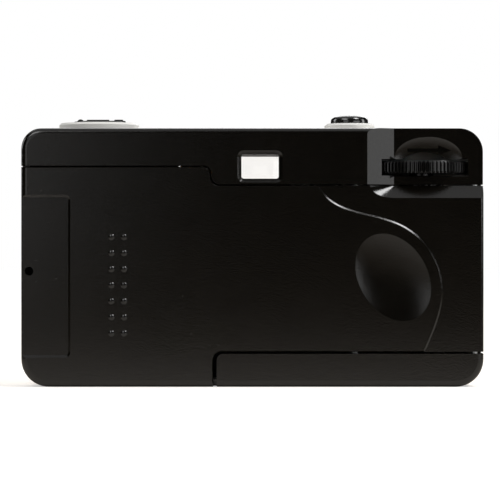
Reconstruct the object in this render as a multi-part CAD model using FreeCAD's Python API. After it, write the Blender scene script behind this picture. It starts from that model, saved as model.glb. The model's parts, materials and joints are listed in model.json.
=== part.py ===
import FreeCAD, Part
import math
import os

# Pocket reusable 35 mm film camera with a hinged back, thumb-wheel film advance,
# fold-out rewind crank, fixed-focus lens, leaf shutter and built-in flash.
# Millimetres. +X is the photographer's right hand, +Y is where the lens looks, +Z is up.
# The origin is under the middle of the camera, on the surface that it stands on.
# The film path sets the overall size: 114.0 wide, 63.8 high to the top face, 34.5 deep.

V = FreeCAD.Vector

# Film, frame and cartridge
FILM_W = 35.0
GATE_W = 36.0
GATE_H = 24.0
CARTRIDGE_R = 12.5
CARTRIDGE_CLEAR = 0.5
CARTRIDGE_BELOW_FILM = 8.5
CARTRIDGE_ABOVE_FILM = 4.4

# Walls and general clearances
WALL = 1.8
SHELL = 0.8
GATE_WALL = 1.2
RUN_CLEAR = 0.06
THROUGH = 1.0
BITE = 0.1

# Room along the film path, from left to right
LATCH_ROOM = 2.9
CHAMBER_TO_GATE = 9.4
GATE_TO_SPROCKET = 5.6
SPROCKET_TO_SPOOL = 16.8
WHEEL_SIDE_GAP = 0.5

# Room from the floor to the top
CHAMBER_FLOOR = 1.1
FILM_EDGE_CLEAR = 0.3
CHAMBER_TO_TOP = 9.8

# Room from the door to the face
DOOR_PLATE = 1.8
PLATE_ROOM = 1.85
CHAMBER_TO_COVER = 0.35
FLANGE_TO_FACE = 7.7
BEZEL_PROUD = 3.65
REAR_PART_DEPTH = 9.75

# Outer shape
CORNER_TOP_LEFT_R = 5.1
CORNER_TOP_RIGHT_R = 5.8
CORNER_LOW_R = 6.8
CORNER_FOLLOW = 0.9
REAR_EDGE_R = 1.5
FRONT_EDGE_R = 2.6
PARTING_CHAMFER = 0.2
GRIP_RIBS = 4
GRIP_W = 1.2
GRIP_STEP = 2.2
GRIP_PROUD = 0.35
GRIP_FROM_SIDE = 13.0
GRIP_BELOW = 15.2
GRIP_ABOVE = 14.8

# Grip studs on the door: two upright rows of low domes
STUD_HEIGHT = 0.35
STUD_R = 0.78
STUD_FROM_SIDE = 22.3
STUD_TOP_ABOVE_LENS = 7.7
STUD_COLUMN_STEP = 3.1
STUD_ROW_STEP = 3.95
STUD_ROWS = 7
STUD_COLUMNS = 2

# Door
DOOR_RIM = 1.5
DOOR_RIM_DEPTH = 5.75
DOOR_EDGE_CHAMFER = 0.25
SEAM_GAP = 0.3
STRIP_GAP = 0.5
STRIP_SIDE_GAP = 0.9
RIM_GAP = 0.3
SEAM_LEFT_DROP = 9.6
SEAM_RIGHT_DROP = 14.2
STEP_LEFT_OF_LENS = 12.3
STEP_OUTER_R = 1.7
STEP_INNER_R = 2.3
STRIP_TOP_Z = 8.65
STRIP_LEFT_OF_LENS = 11.6
STRIP_CORNER_R = 2.1
LEDGE = 1.1
LEAST_CORNER_R = 0.2

# Raised field on the door, bounded by a curved step: distance from the right side, and below the seam
FIELD_STEP = 0.32
FIELD_SLOPE = 0.4
FIELD_EDGE = (
    (40.8, -1.2),
    (38.5, 2.8),
    (29.1, 6.9),
    (19.2, 10.2),
    (12.3, 17.4),
    (10.1, 26.0),
    (12.1, 35.2),
    (15.1, 42.2),
)

# Finger recess at the door's free edge
PULL_DEPTH = 0.6
PULL_FROM_SIDE = 11.6
PULL_LOW_Z = 7.8
PULL_BELOW_SEAM = 7.5
PULL_SLOPE = 0.6
PULL_CORNER_R = 0.7

# Thumb dish on the door: a tilted oval hollow
DISH_FROM_SIDE = 22.35
DISH_BELOW_LENS = 2.2
DISH_LONG = 11.5
DISH_SHORT = 8.4
DISH_TILT_DEG = -58.8
DISH_SINK = 0.85
DISH_BALL = 3.4
DISH_BACK = 0.35

# Strap eyelet, in an insert of its own at the door's free edge
EYELET_FROM_SIDE = 1.94
EYELET_BELOW_LENS = 0.7
EYELET_R = 1.1
EYELET_SIDE_R = 0.95
EYELET_INSERT_W = 4.0
EYELET_INSERT_HALF = 2.6
EYELET_INSERT_FIT = 0.02
EYELET_DEPTH = 4.7

# Thumb pocket round the advance wheel
POCKET_DEPTH = 3.2
POCKET_LEFT_OF_SPOOL = 7.3
POCKET_LEFT_RUN = 6.7
POCKET_LOW_RUN = 3.4
POCKET_FLOOR_WALL = 1.5
POCKET_WALL_LEFT = 14.8
POCKET_CORNER = 0.35
SCOOP_SHIFT = 1.2
SCOOP_HALF = 8.65
SCOOP_HIGH = 5.67
SCOOP_SINK = 0.85

# Advance wheel and take-up spool
WHEEL_R = 12.0
WHEEL_SUNK = 0.25
WHEEL_THICK = 3.1
WHEEL_TEETH = 72
WHEEL_TOOTH = 0.55
WHEEL_CHAMFER = 0.5
WHEEL_BELOW_TOP = 9.55
WHEEL_HUB_R = 2.0
WHEEL_RIM = 2.0
WHEEL_DISH = 1.2
SLOT_LEFT = 10.4
SLOT_RIGHT = 11.0
SLOT_CLEAR = 0.4
SLOT_CLEAR_BELOW = 0.6
SLOT_EDGE = 0.2
NOTCH_SHIFT = 0.3
NOTCH_HALF = 5.6
NOTCH_HIGH = 1.75
RATCHET_R = 5.6
RATCHET_TEETH = 24
RATCHET_TOOTH = 0.6
RATCHET_THICK = 1.2
RATCHET_ABOVE_DECK = 1.6
TAKEUP_R = 10.4
SPOOL_R = 5.0
SPOOL_BORE_R = 3.9
SPOOL_COLLAR_R = 5.7
SPOOL_COLLAR = 0.9
SPOOL_END_CLEAR = 0.25
SPOOL_FOOT_R = 1.5
HUB_R = 3.0

# Film sprocket, charging cam and counter drive
PERFORATION_INSET = 3.4
SPROCKET_PITCH = 4.75
SPROCKET_TEETH = 8
SPROCKET_SHAFT_R = 1.25
SPROCKET_DRUM = 6.0
SPROCKET_TOOTH_HEIGHT = 1.1
SPROCKET_TOOTH_HALF = 0.7
CAM_R = 3.5
CAM_THICK = 1.3
FINGER_THICK = 0.8
FINGER_HUB_R = 2.3

# Release mechanism on the chassis deck
PIVOT_R = 0.9
PAWL_LEFT_OF_SPOOL = 9.3
PAWL_AHEAD_OF_SPOOL = 9.0
PAWL_CLEAR = 0.2
STRIKER_RIGHT_OF_LENS = 9.7
STRIKER_BEHIND_FLANGE = 7.5
STRIKER_REACH = 9.2
STRIKER_SWING = 30.0
STRIKER_THICK = 0.9
STRIKER_ABOVE_DECK = 0.3
STRIKER_LEG_R = 0.7
STRIKER_LEG_ABOVE_LENS = 11.2
STRIKER_CAM_CLEAR = 0.3
ROCKER_REACH = 6.8
ROCKER_BELOW_STEM = 2.7
ROCKER_HALF = 1.5
ROCKER_PIN_R = 0.8
ROCKER_SIDE_CLEAR = 0.2
ROCKER_FINGER_REACH = 9.9
EAR_THICK = 1.0

# Frame counter
COUNTER_RIGHT_OF_SPROCKET = 8.7
COUNTER_AHEAD_OF_BUTTON = 1.2
COUNTER_BELOW_COVER = 3.3
COUNTER_R = 6.9
COUNTER_TEETH = 40
COUNTER_TOOTH = 0.45
COUNTER_THICK = 1.0
COUNTER_FINGER_GAP = 0.15
COUNTER_POST_R = 1.2
COUNTER_POST_LONG = 0.9
COUNTER_WINDOW_R = 2.6
COUNTER_WINDOW_OFF = 4.3
COUNTER_WINDOW_LIP = 0.4
COUNTER_WINDOW_FACE = 0.7

# Viewfinder
FINDER_BELOW_TOP = 9.5
FINDER_W = 9.3
FINDER_H = 6.0
FINDER_BEVEL = 0.95
FINDER_BEVEL_DEPTH = 0.9
FINDER_CORNER_R = 0.7
FINDER_FRONT_W = 14.0
FINDER_FRONT_H = 8.2
FINDER_TUBE_WALL = 0.9
FINDER_TUBE_CLEAR = 0.2
FINDER_LENS_THICK = 1.5
EYEPIECE_THICK = 1.2
EYEPIECE_LIP = 0.45
EYEPIECE_CLEAR = 0.05

# Lens and shutter
FLANGE_THICK = 1.0
FLANGE_HALF = 9.6
FLANGE_BORE_R = 3.6
TUNNEL_FRONT_W = 9.0
BLADE_THICK = 0.3
BLADE_GAP = 0.3
BLADE_PIVOT_DX = 5.5
BLADE_PIVOT_DZ = 5.5
BLADE_PIVOT_R = 0.8
BLADE_HUB_R = 1.7
BLADE_DISC_R = 3.2
BLADE_TAIL_DX = 4.6
BLADE_TAIL_DZ = 6.8
BARREL_FLANGE_R = 9.2
BARREL_FLANGE = 1.2
BARREL_R = 7.0
BARREL_BORE_R = 5.1
BARREL_SHELF = 3.4
BARREL_STEP = 2.2
BARREL_LEG_R = 0.9
BARREL_LEG_CIRCLE_R = 8.2
BARREL_LEG_ANGLES = (150, 215, 285)
LENS_SEAT_CLEAR = 0.02
LENS_SUNK = 2.3
FRONT_LENS_R = 5.0
FRONT_LENS_THICK = 1.4
FRONT_LENS_SUNK = 3.2
REAR_LENS_R = 4.0
REAR_LENS_THICK = 1.2
STOP_R = 1.55
STOP_THICK = 0.35
BEZEL_R = 15.2
BEZEL_SLEEVE_R = 12.4
BEZEL_SLEEVE = 1.0
BEZEL_CLEAR = 0.15

# Shutter button
BUTTON_RIGHT_OF_SPROCKET = -1.0
BUTTON_AHEAD_OF_FILM = 13.25
BUTTON_R = 4.7
BUTTON_TRAVEL = 1.8
BUTTON_SPRING_SHUT = 3.4
BUTTON_PROUD = 2.1
BUTTON_RING_R = 6.3
BUTTON_CLEAR = 0.2
BUTTON_WALL = 1.0
BUTTON_ROOF = 0.9
BUTTON_EDGE_R = 1.3
BUTTON_CROWN_R = 30.0
TOP_RING_RISE = 1.7
STEM_R = 1.2
STEM_LONG = 6.8
SPRING_COIL_R = 1.75
SPRING_GAP = 0.1

# Rewind crank
CRANK_RING_R = 10.0
CRANK_RING_CHAMFER = 0.5
CRANK_WELL_R = 7.3
CRANK_HUB_R = 6.6
CRANK_FLOOR = 1.0
CRANK_FLOOR_GAP = 0.2
CRANK_PROUD = 0.4
CRANK_ARM_HALF = 1.7
CRANK_ARM_THICK = 1.1
CRANK_ARM_CLEAR = 0.2
CRANK_HINGE_OFF = 4.6
CRANK_HINGE_DROP = 0.3
CRANK_HINGE_R = 0.9
CRANK_PIN_R = 0.4
CRANK_REACH = 4.9
CRANK_KNOB_R = 1.9
CRANK_KNOB_CLEAR = 0.35
CRANK_STUD_R = 0.7
REWIND_SHAFT_R = 1.9
FORK_REACH = 3.6

# Flash
FLASH_FROM_SIDE = 26.0
FLASH_BELOW_TOP = 6.6
FLASH_W = 25.0
FLASH_H = 8.6
FLASH_RIM = 1.4
FLASH_RIM_PROUD = 0.5
FLASH_TUBE_R = 1.25
FLASH_TUBE_BACK = 3.1
REFLECTOR_DEEP = 6.2
REFLECTOR_WALL = 0.5
WINDOW_RIBS = 11
SWITCH_RIGHT_OF_FLASH = 9.5
SWITCH_BELOW_FLASH = 10.7
SWITCH_TRAVEL = 3.0
SWITCH_HALF_W = 1.4
SWITCH_HALF_H = 2.2
SWITCH_CLEAR = 0.2
BOARD_W = 19.4
BOARD_H = 34.5
BOARD_THICK = 1.0
BOARD_LEFT_OF_LENS = 30.9
BOARD_BELOW_LENS = 13.2
BOARD_BEHIND_COVER = 2.2
BOARD_POST_R = 1.9
BOARD_PEG_R = 1.0
BOARD_HOLE_R = 1.1
BOARD_POSTS = ((2.6, 3.2), (16.8, 31.9))
CAPACITOR_R = 4.0
CAPACITOR_LONG = 22.0
CAPACITOR_PLACE = (11.8, 7.0)
LAMP_RIGHT_OF_FLASH = 15.0
LAMP_BEHIND_FACE = 8.1
LAMP_R = 1.2
LAMP_LONG = 6.0

# Battery bay, for one AAA cell
CELL_R = 5.25
CELL_LONG = 44.5
CELL_AHEAD_OF_FILM = 15.05
BAY_CLEAR = 0.35
BAY_WALL = 0.8
CONTACT_ROOM = 2.4
CONTACT_THICK = 0.3
CONTACT_HALF = 4.0
LID_OVERLAP = 0.4
LID_CLEAR = 0.15
LID_LIFT = 0.12
LID_HINGE_R = 0.8
LID_HINGE_CLEAR = 0.25
LID_PIN_R = 0.4
LID_PIN_LONG = 0.9

# Rewind release
RELEASE_FROM_REAR = 7.0
RELEASE_R = 1.9
RELEASE_CLEAR = 0.1
RELEASE_TRAVEL = 1.2
RELEASE_TOP = 5.4
RELEASE_PAD = 2.3

# Fasteners
SCREW_HEAD_R = 1.4
SCREW_HEAD = 0.8
SCREW_R = 0.8
SCREW_LONG = 5.5
SCREW_CLEAR = 0.1
BOSS_R = 1.9
HINGE_PIN_R = 0.8
HINGE_PIN_FIT = 0.01
HINGE_PIN_LOW_Z = 5.6
HINGE_AHEAD_OF_RIM = 0.3
LUG_LOW_Z = 5.0
KNUCKLE_R = 1.9
KNUCKLE_CLEAR = 0.3

# Latch
LATCH_THICK = 0.8
LATCH_WALL_GAP = 0.1
LATCH_TRAVEL = 3.0
LATCH_ABOVE_LENS = 0.8
LATCH_HALF = 11.0
LATCH_KNOB_HALF = 3.2
LATCH_WIDE = 2.4
LATCH_SPRING = 8.0
LATCH_SPRING_R = 0.7
LATCH_SPRING_WIRE = 0.15
HOOK_THICK = 0.8
HOOK_GAP = 0.5
HOOK_HIGH = 2.6

# Film pressure plate and door springs
GUIDE_OFF = 16.5
GUIDE_R = 1.2
GUIDE_CLEAR = 0.3
PRESS_THICK = 0.8
PRESS_GAP = 0.15
PRESS_LEFT = 4.0
PRESS_RIGHT = 1.4
PRESS_OVER = 3.4
RAIL = 0.35
RAIL_W = 1.2

# Sizes worked out along the film path
CHAMBER_R = CARTRIDGE_R + CARTRIDGE_CLEAR
CARTRIDGE_OFF = GATE_W / 2 + CHAMBER_TO_GATE + CHAMBER_R
SPROCKET_OFF = GATE_W / 2 + GATE_TO_SPROCKET
SPOOL_OFF = SPROCKET_OFF + SPROCKET_TO_SPOOL
LEFT_OF_LENS = CARTRIDGE_OFF + CHAMBER_R + SHELL + LATCH_ROOM + WALL
RIGHT_OF_LENS = SPOOL_OFF + WHEEL_R + SLOT_CLEAR + WHEEL_SIDE_GAP + WALL
WIDTH = LEFT_OF_LENS + RIGHT_OF_LENS
HALF = WIDTH / 2
OPTICAL_X = LEFT_OF_LENS - HALF
CARTRIDGE_X = OPTICAL_X - CARTRIDGE_OFF
SPROCKET_X = OPTICAL_X + SPROCKET_OFF
SPOOL_X = OPTICAL_X + SPOOL_OFF
FAR = 2 * WIDTH

# Heights, from the floor up
CHAMBER_LOW_Z = WALL + CHAMBER_FLOOR
FILM_LOW = CHAMBER_LOW_Z + CARTRIDGE_BELOW_FILM
FILM_Z = FILM_LOW + FILM_EDGE_CLEAR + FILM_W / 2
FILM_HIGH = FILM_Z + FILM_W / 2 + FILM_EDGE_CLEAR
DECK_Z = FILM_HIGH + SHELL
CHAMBER_HIGH_Z = FILM_HIGH + CARTRIDGE_ABOVE_FILM
COVER_IN_Z = CHAMBER_HIGH_Z + SHELL + CHAMBER_TO_TOP
HEIGHT = COVER_IN_Z + WALL
TOP_RING_Z = HEIGHT + TOP_RING_RISE
SEAM_LEFT_Z = HEIGHT - SEAM_LEFT_DROP
SEAM_RIGHT_Z = HEIGHT - SEAM_RIGHT_DROP
FINDER_Z = HEIGHT - FINDER_BELOW_TOP
FLASH_Z = HEIGHT - FLASH_BELOW_TOP
SWITCH_Z = FLASH_Z - SWITCH_BELOW_FLASH
EYELET_Z = FILM_Z - EYELET_BELOW_LENS
LATCH_Z = FILM_Z + LATCH_ABOVE_LENS
PULL_HIGH_Z = SEAM_LEFT_Z - PULL_BELOW_SEAM
SPROCKET_Z = FILM_Z + FILM_W / 2 - PERFORATION_INSET
WHEEL_CENTRE_Z = HEIGHT - WHEEL_BELOW_TOP
WHEEL_LOW = WHEEL_CENTRE_Z - WHEEL_THICK / 2
WHEEL_HIGH = WHEEL_CENTRE_Z + WHEEL_THICK / 2
SLOT_LOW = WHEEL_LOW - SLOT_CLEAR_BELOW
SLOT_HIGH = WHEEL_HIGH + SLOT_CLEAR
RATCHET_LOW = DECK_Z + RATCHET_ABOVE_DECK
STRIKER_LOW = DECK_Z + STRIKER_ABOVE_DECK
STRIKER_HIGH = STRIKER_LOW + STRIKER_THICK
COUNTER_LOW_Z = COVER_IN_Z - COUNTER_BELOW_COVER
BUTTON_LOW_Z = COVER_IN_Z + 0.1
STEM_LOW_Z = BUTTON_LOW_Z - STEM_LONG
BUTTON_SPRING_HIGH = BUTTON_LOW_Z + 1.1
BUTTON_SPRING_LOW = BUTTON_SPRING_HIGH - BUTTON_TRAVEL - BUTTON_SPRING_SHUT
CRANK_FLOOR_Z = COVER_IN_Z + CRANK_FLOOR
CRANK_TOP_Z = TOP_RING_Z + CRANK_PROUD
CRANK_HINGE_Z = CRANK_TOP_Z - CRANK_HINGE_DROP
BAY_HALF = CELL_R + BAY_CLEAR
CELL_Z = WALL + BAY_HALF
BAY_TOP = CELL_Z + BAY_HALF

# Depths, from the rear face to the lens ring
CHAMBER_DEPTH = CARTRIDGE_CLEAR / 2 + CARTRIDGE_R + CHAMBER_R + SHELL
BODY_DEPTH = DOOR_PLATE + CHAMBER_DEPTH + CHAMBER_TO_COVER + WALL
DEPTH = STUD_HEIGHT + BODY_DEPTH + BEZEL_PROUD
Y_REAR = -DEPTH / 2 + STUD_HEIGHT
Y_PLATE = Y_REAR + DOOR_PLATE
Y_FILM = Y_PLATE + PLATE_ROOM
Y_GATE = Y_FILM + RAIL + GATE_WALL
Y_RIM = Y_REAR + DOOR_RIM_DEPTH
Y_FRAME = Y_RIM + RIM_GAP
Y_PART = Y_REAR + REAR_PART_DEPTH
Y_POCKET = Y_REAR + POCKET_DEPTH
Y_FACE = Y_REAR + BODY_DEPTH
Y_FLANGE = Y_FACE - FLANGE_TO_FACE
Y_BLADE = Y_FLANGE + FLANGE_THICK + BLADE_GAP
Y_BARREL = Y_BLADE + BLADE_THICK + BLADE_GAP + BITE
Y_COVER_IN = Y_FACE - WALL
Y_FRONT = Y_FACE + BEZEL_PROUD
Y_BOARD = Y_COVER_IN - BOARD_BEHIND_COVER
CARTRIDGE_Y = Y_PLATE + CARTRIDGE_CLEAR / 2 + CARTRIDGE_R
SPROCKET_R = SPROCKET_PITCH * SPROCKET_TEETH / (2 * math.pi)
SPROCKET_Y = Y_FILM + SPROCKET_R
WHEEL_Y = Y_REAR + WHEEL_SUNK + WHEEL_R
LATCH_Y = (Y_FRAME + Y_PART) / 2 + 0.1
SCREW_REAR_Y = (Y_FRAME + Y_PART) / 2
BUTTON_Y = Y_FILM + BUTTON_AHEAD_OF_FILM
ROCKER_Y = BUTTON_Y + ROCKER_REACH
COUNTER_Y = BUTTON_Y + COUNTER_AHEAD_OF_BUTTON
CELL_Y = Y_FILM + CELL_AHEAD_OF_FILM
LAMP_Y = Y_FACE - LAMP_BEHIND_FACE
FLASH_TUBE_Y = Y_COVER_IN - FLASH_TUBE_BACK
RELEASE_Y = Y_REAR + RELEASE_FROM_REAR

# Places from side to side
STEP_X = OPTICAL_X - STEP_LEFT_OF_LENS
STRIP_END_X = OPTICAL_X - STRIP_LEFT_OF_LENS
STUD_X = -HALF + STUD_FROM_SIDE
PULL_RIGHT_X = -HALF + PULL_FROM_SIDE
DISH_X = HALF - DISH_FROM_SIDE
EYELET_X = -HALF + EYELET_FROM_SIDE
HINGE_X = HALF - KNUCKLE_R
POCKET_FLOOR_X = SPOOL_X - POCKET_LEFT_OF_SPOOL
LATCH_X = -HALF + WALL + LATCH_WALL_GAP
HOOK_X = LATCH_X + LATCH_THICK + HOOK_GAP
BUTTON_X = SPROCKET_X + BUTTON_RIGHT_OF_SPROCKET
COUNTER_X = SPROCKET_X + COUNTER_RIGHT_OF_SPROCKET
COUNTER_WINDOW_X = COUNTER_X + COUNTER_WINDOW_OFF
FLASH_X = -HALF + FLASH_FROM_SIDE
SWITCH_X = FLASH_X + SWITCH_RIGHT_OF_FLASH
BOARD_X = OPTICAL_X - BOARD_LEFT_OF_LENS
BOARD_Z = FILM_Z - BOARD_BELOW_LENS
LAMP_X = FLASH_X + LAMP_RIGHT_OF_FLASH
BAY_X0 = OPTICAL_X - CELL_LONG / 2 - CONTACT_ROOM
BAY_X1 = OPTICAL_X + CELL_LONG / 2 + CONTACT_ROOM
LID_HINGE_X = BAY_X0 - LID_OVERLAP
LID_HINGE_Z = LID_LIFT + LID_HINGE_R
HINGE_Y = Y_RIM + HINGE_AHEAD_OF_RIM
ROCKER_Z = STEM_LOW_Z - ROCKER_BELOW_STEM
PAWL_PIVOT = (SPOOL_X - PAWL_LEFT_OF_SPOOL, WHEEL_Y + PAWL_AHEAD_OF_SPOOL)
STRIKER_PIVOT = (OPTICAL_X + STRIKER_RIGHT_OF_LENS, Y_FLANGE - STRIKER_BEHIND_FLANGE)


def block(x0, x1, y0, y1, z0, z1):
    return Part.makeBox(x1 - x0, y1 - y0, z1 - z0, V(x0, y0, z0))


def post(x, y, z0, z1, radius):
    return Part.makeCylinder(radius, z1 - z0, V(x, y, z0), V(0, 0, 1))


def rod_y(x, z, y0, y1, radius):
    return Part.makeCylinder(radius, y1 - y0, V(x, y0, z), V(0, 1, 0))


def rod_x(y, z, x0, x1, radius):
    return Part.makeCylinder(radius, x1 - x0, V(x0, y, z), V(1, 0, 0))


def fuse(shape, *others):
    for other in others:
        shape = shape.fuse(other)
    return shape.removeSplitter()


def cut(shape, *tools):
    for tool in tools:
        shape = shape.cut(tool)
    return shape


def sheet(points):
    """A flat face inside a closed run of straight edges."""
    return Part.Face(Part.makePolygon(points + points[:1]))


def arc_xz(x, z, radius, start, end, y):
    """An arc in an upright plane facing the rear; angles in degrees from +X towards +Z."""
    points = []
    for angle in (start, (start + end) / 2, end):
        turn = math.radians(angle)
        points.append(V(x + radius * math.cos(turn), y, z + radius * math.sin(turn)))
    return Part.Arc(*points).toShape()


def line_xz(x0, z0, x1, z1, y):
    return Part.LineSegment(V(x0, y, z0), V(x1, y, z1)).toShape()


def corner_wire(x0, x1, z0, z1, low, right, left, y):
    """A rectangle in the plane at depth y, with a radius for its lower, top right and top left corners."""
    return Part.Wire([
        line_xz(x0 + low, z0, x1 - low, z0, y),
        arc_xz(x1 - low, z0 + low, low, -90, 0, y),
        line_xz(x1, z0 + low, x1, z1 - right, y),
        arc_xz(x1 - right, z1 - right, right, 0, 90, y),
        line_xz(x1 - right, z1, x0 + left, z1, y),
        arc_xz(x0 + left, z1 - left, left, 90, 180, y),
        line_xz(x0, z1 - left, x0, z0 + low, y),
        arc_xz(x0 + low, z0 + low, low, 180, 270, y),
    ])


def rounded_wire(x0, x1, z0, z1, radius, y):
    """A rectangle with round corners, in the plane at depth y."""
    return corner_wire(x0, x1, z0, z1, radius, radius, radius, y)


def rounded_prism(x0, x1, z0, z1, radius, y0, y1):
    return Part.Face(rounded_wire(x0, x1, z0, z1, radius, y0)).extrude(V(0, y1 - y0, 0))


def centred_prism(x, z, half_w, half_h, radius, y0, y1):
    return rounded_prism(x - half_w, x + half_w, z - half_h, z + half_h, radius, y0, y1)


def body_prism(inset, y0, y1):
    """The camera's outline, pulled in by inset, between two depths."""
    tighter = inset * CORNER_FOLLOW
    outline = corner_wire(
        -HALF + inset, HALF - inset, inset, HEIGHT - inset,
        CORNER_LOW_R - tighter, CORNER_TOP_RIGHT_R - tighter, CORNER_TOP_LEFT_R - tighter, y0,
    )
    return Part.Face(outline).extrude(V(0, y1 - y0, 0))


def edges_at_depth(shape, y):
    """The edges of a shape that lie in the plane at depth y."""
    near = 1e-4
    boxes = [(edge, edge.BoundBox) for edge in shape.Edges]
    return [edge for edge, box in boxes if abs(box.YMin - y) < near and abs(box.YMax - y) < near]


def tapered(x0, x1, z0, z1, radius, slope, y_floor, y_mouth):
    """A hollow that widens by slope on every side from its floor to a little past its mouth."""
    past = 0.5
    reach = 1 + past / abs(y_mouth - y_floor)
    wide = slope * reach
    y_end = y_floor + (y_mouth - y_floor) * reach
    return Part.makeLoft([
        rounded_wire(x0, x1, z0, z1, radius, y_floor),
        rounded_wire(x0 - wide, x1 + wide, z0 - wide, z1 + wide, radius + wide, y_end),
    ], True, True)


def turned(profile, x, other, upright):
    """A ring or disc from (radius, height) points, turned about an upright axis or about one along Y."""
    if upright:
        points = [V(x + r, other, h) for r, h in profile]
        middle, axis = V(x, other, 0), V(0, 0, 1)
    else:
        points = [V(x + r, h, other) for r, h in profile]
        middle, axis = V(x, 0, other), V(0, 1, 0)
    return sheet(points).revolve(middle, axis, 360)


def ring(x, y, z0, z1, inner, outer):
    """A flat ring about an upright axis."""
    return turned([(inner, z0), (outer, z0), (outer, z1), (inner, z1)], x, y, True)


def toothed(x, y, z0, z1, outer, inner, teeth, lean=0.0, tip=0.33):
    """A disc with teeth; shares of a tooth's pitch give its flat tip and how far the tip leans round."""
    rise, foot = 0.22, 0.78
    profile = ((0.0, inner), (rise + lean, outer), (rise + lean + tip, outer), (foot, inner))
    points = []
    for tooth in range(teeth):
        for share, radius in profile:
            angle = 2 * math.pi * (tooth + share) / teeth
            points.append(V(x + radius * math.cos(angle), y + radius * math.sin(angle), z0))
    return sheet(points).extrude(V(0, 0, z1 - z0))


def coil(x, y, z0, z1, radius, wire, turns):
    """A round-wire compression spring round an upright axis; each half turn is tilted to meet the next."""
    rise = (z1 - z0 - 2 * wire) / (2 * turns)
    halves = []
    for number in range(2 * turns):
        side = 1 if number % 2 == 0 else -1
        start = V(side * radius, 0, number * rise)
        middle = V(0, 0, (number + 0.5) * rise)
        section = Part.Face(Part.Wire(Part.makeCircle(wire, start, V(0, 1, 0))))
        halves.append(section.revolve(middle, V(side * rise, 0, 2 * radius), 180))
    spring = fuse(*halves)
    spring.translate(V(x, y, z0 + wire))
    return spring


def push_spring(x, y, z0, z1):
    """The spring that both push buttons use."""
    wire, turns = 0.2, 4
    return coil(x, y, z0, z1, SPRING_COIL_R, wire, turns)


def lens(x, z, y0, y1, radius, rear_bulge, front_bulge):
    """A round lens between two edge planes, with a dome on either side."""

    def dome(y, bulge):
        ball = (radius ** 2 + bulge ** 2) / (2 * abs(bulge))
        half = radius / 2
        drop = ball - math.sqrt(ball ** 2 - half ** 2)
        side = 1 if bulge > 0 else -1
        return V(x, y + bulge, z), V(x + half, y + bulge - side * drop, z), V(x + radius, y, z)

    rear_top, rear_mid, rear_edge = dome(y0, -rear_bulge)
    front_top, front_mid, front_edge = dome(y1, front_bulge)
    outline = Part.Wire([
        Part.Arc(rear_top, rear_mid, rear_edge).toShape(),
        Part.LineSegment(rear_edge, front_edge).toShape(),
        Part.Arc(front_edge, front_mid, front_top).toShape(),
        Part.LineSegment(front_top, rear_top).toShape(),
    ])
    return Part.Face(outline).revolve(V(x, 0, z), V(0, 1, 0), 360)


def door_region(top, low, side, y0, y1):
    """The door's outline, grown at its upper seam, over the strip and at the strip's end."""
    xs = STEP_X + top
    high_left = SEAM_LEFT_Z + top
    high_right = SEAM_RIGHT_Z + top
    r_out = max(STEP_OUTER_R + top, LEAST_CORNER_R)
    r_in = max(STEP_INNER_R - top, LEAST_CORNER_R)
    low_z = STRIP_TOP_Z - low
    xb = STRIP_END_X + side
    rb = max(STRIP_CORNER_R - low, LEAST_CORNER_R)
    under = -HEIGHT
    wire = Part.Wire([
        line_xz(-FAR, under, -FAR, high_left, y0),
        line_xz(-FAR, high_left, xs - r_out, high_left, y0),
        arc_xz(xs - r_out, high_left - r_out, r_out, 90, 0, y0),
        line_xz(xs, high_left - r_out, xs, high_right + r_in, y0),
        arc_xz(xs + r_in, high_right + r_in, r_in, 180, 270, y0),
        line_xz(xs + r_in, high_right, FAR, high_right, y0),
        line_xz(FAR, high_right, FAR, low_z, y0),
        line_xz(FAR, low_z, xb + rb, low_z, y0),
        arc_xz(xb + rb, low_z - rb, rb, 90, 180, y0),
        line_xz(xb, low_z - rb, xb, under, y0),
        line_xz(xb, under, -FAR, under, y0),
    ])
    return Part.Face(wire).extrude(V(0, y1 - y0, 0))


def rear_form():
    """The solid outer form of the camera's rear third, with its rounded rear edge."""
    form = body_prism(0, Y_REAR, Y_PART)
    return form.makeFillet(REAR_EDGE_R, edges_at_depth(form, Y_REAR))


def pocket_wire(left_run, low_run, y):
    """The thumb pocket's outline; it runs out through the camera's right side and top."""
    left = POCKET_FLOOR_X - left_run
    low = SEAM_RIGHT_Z - low_run
    across = max(left_run, POCKET_CORNER)
    up = max(low_run, POCKET_CORNER)
    quarter_turn = 0.5523
    corner = Part.BezierCurve()
    corner.setPoles([
        V(left, y, low + up),
        V(left, y, low + up * (1 - quarter_turn)),
        V(left + across * (1 - quarter_turn), y, low),
        V(left + across, y, low),
    ])
    return Part.Wire([
        corner.toShape(),
        line_xz(left + across, low, FAR, low, y),
        line_xz(FAR, low, FAR, FAR, y),
        line_xz(FAR, FAR, left, FAR, y),
        line_xz(left, FAR, left, low + up, y),
    ])


def pocket():
    past = 0.4
    reach = 1 + past / POCKET_DEPTH
    return Part.makeLoft([
        pocket_wire(0.0, 0.0, Y_POCKET),
        pocket_wire(POCKET_LEFT_RUN * reach, POCKET_LOW_RUN * reach, Y_REAR - past),
    ], True, True)


def stretched_ball(half_x, half_y, half_z):
    size = FreeCAD.Matrix()
    size.scale(half_x, half_y, half_z)
    return Part.makeSphere(1.0).transformGeometry(size)


def scoop():
    """The shallow arched hollow over the wheel's slot, deepest at the slot."""
    lift = SCOOP_SINK / 4
    ball = stretched_ball(SCOOP_HALF, SCOOP_SINK + lift, SCOOP_HIGH)
    ball.translate(V(SPOOL_X + SCOOP_SHIFT, Y_POCKET - lift, SLOT_HIGH))
    return ball.common(block(-FAR, FAR, -FAR, FAR, SLOT_HIGH - BITE, FAR))


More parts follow.
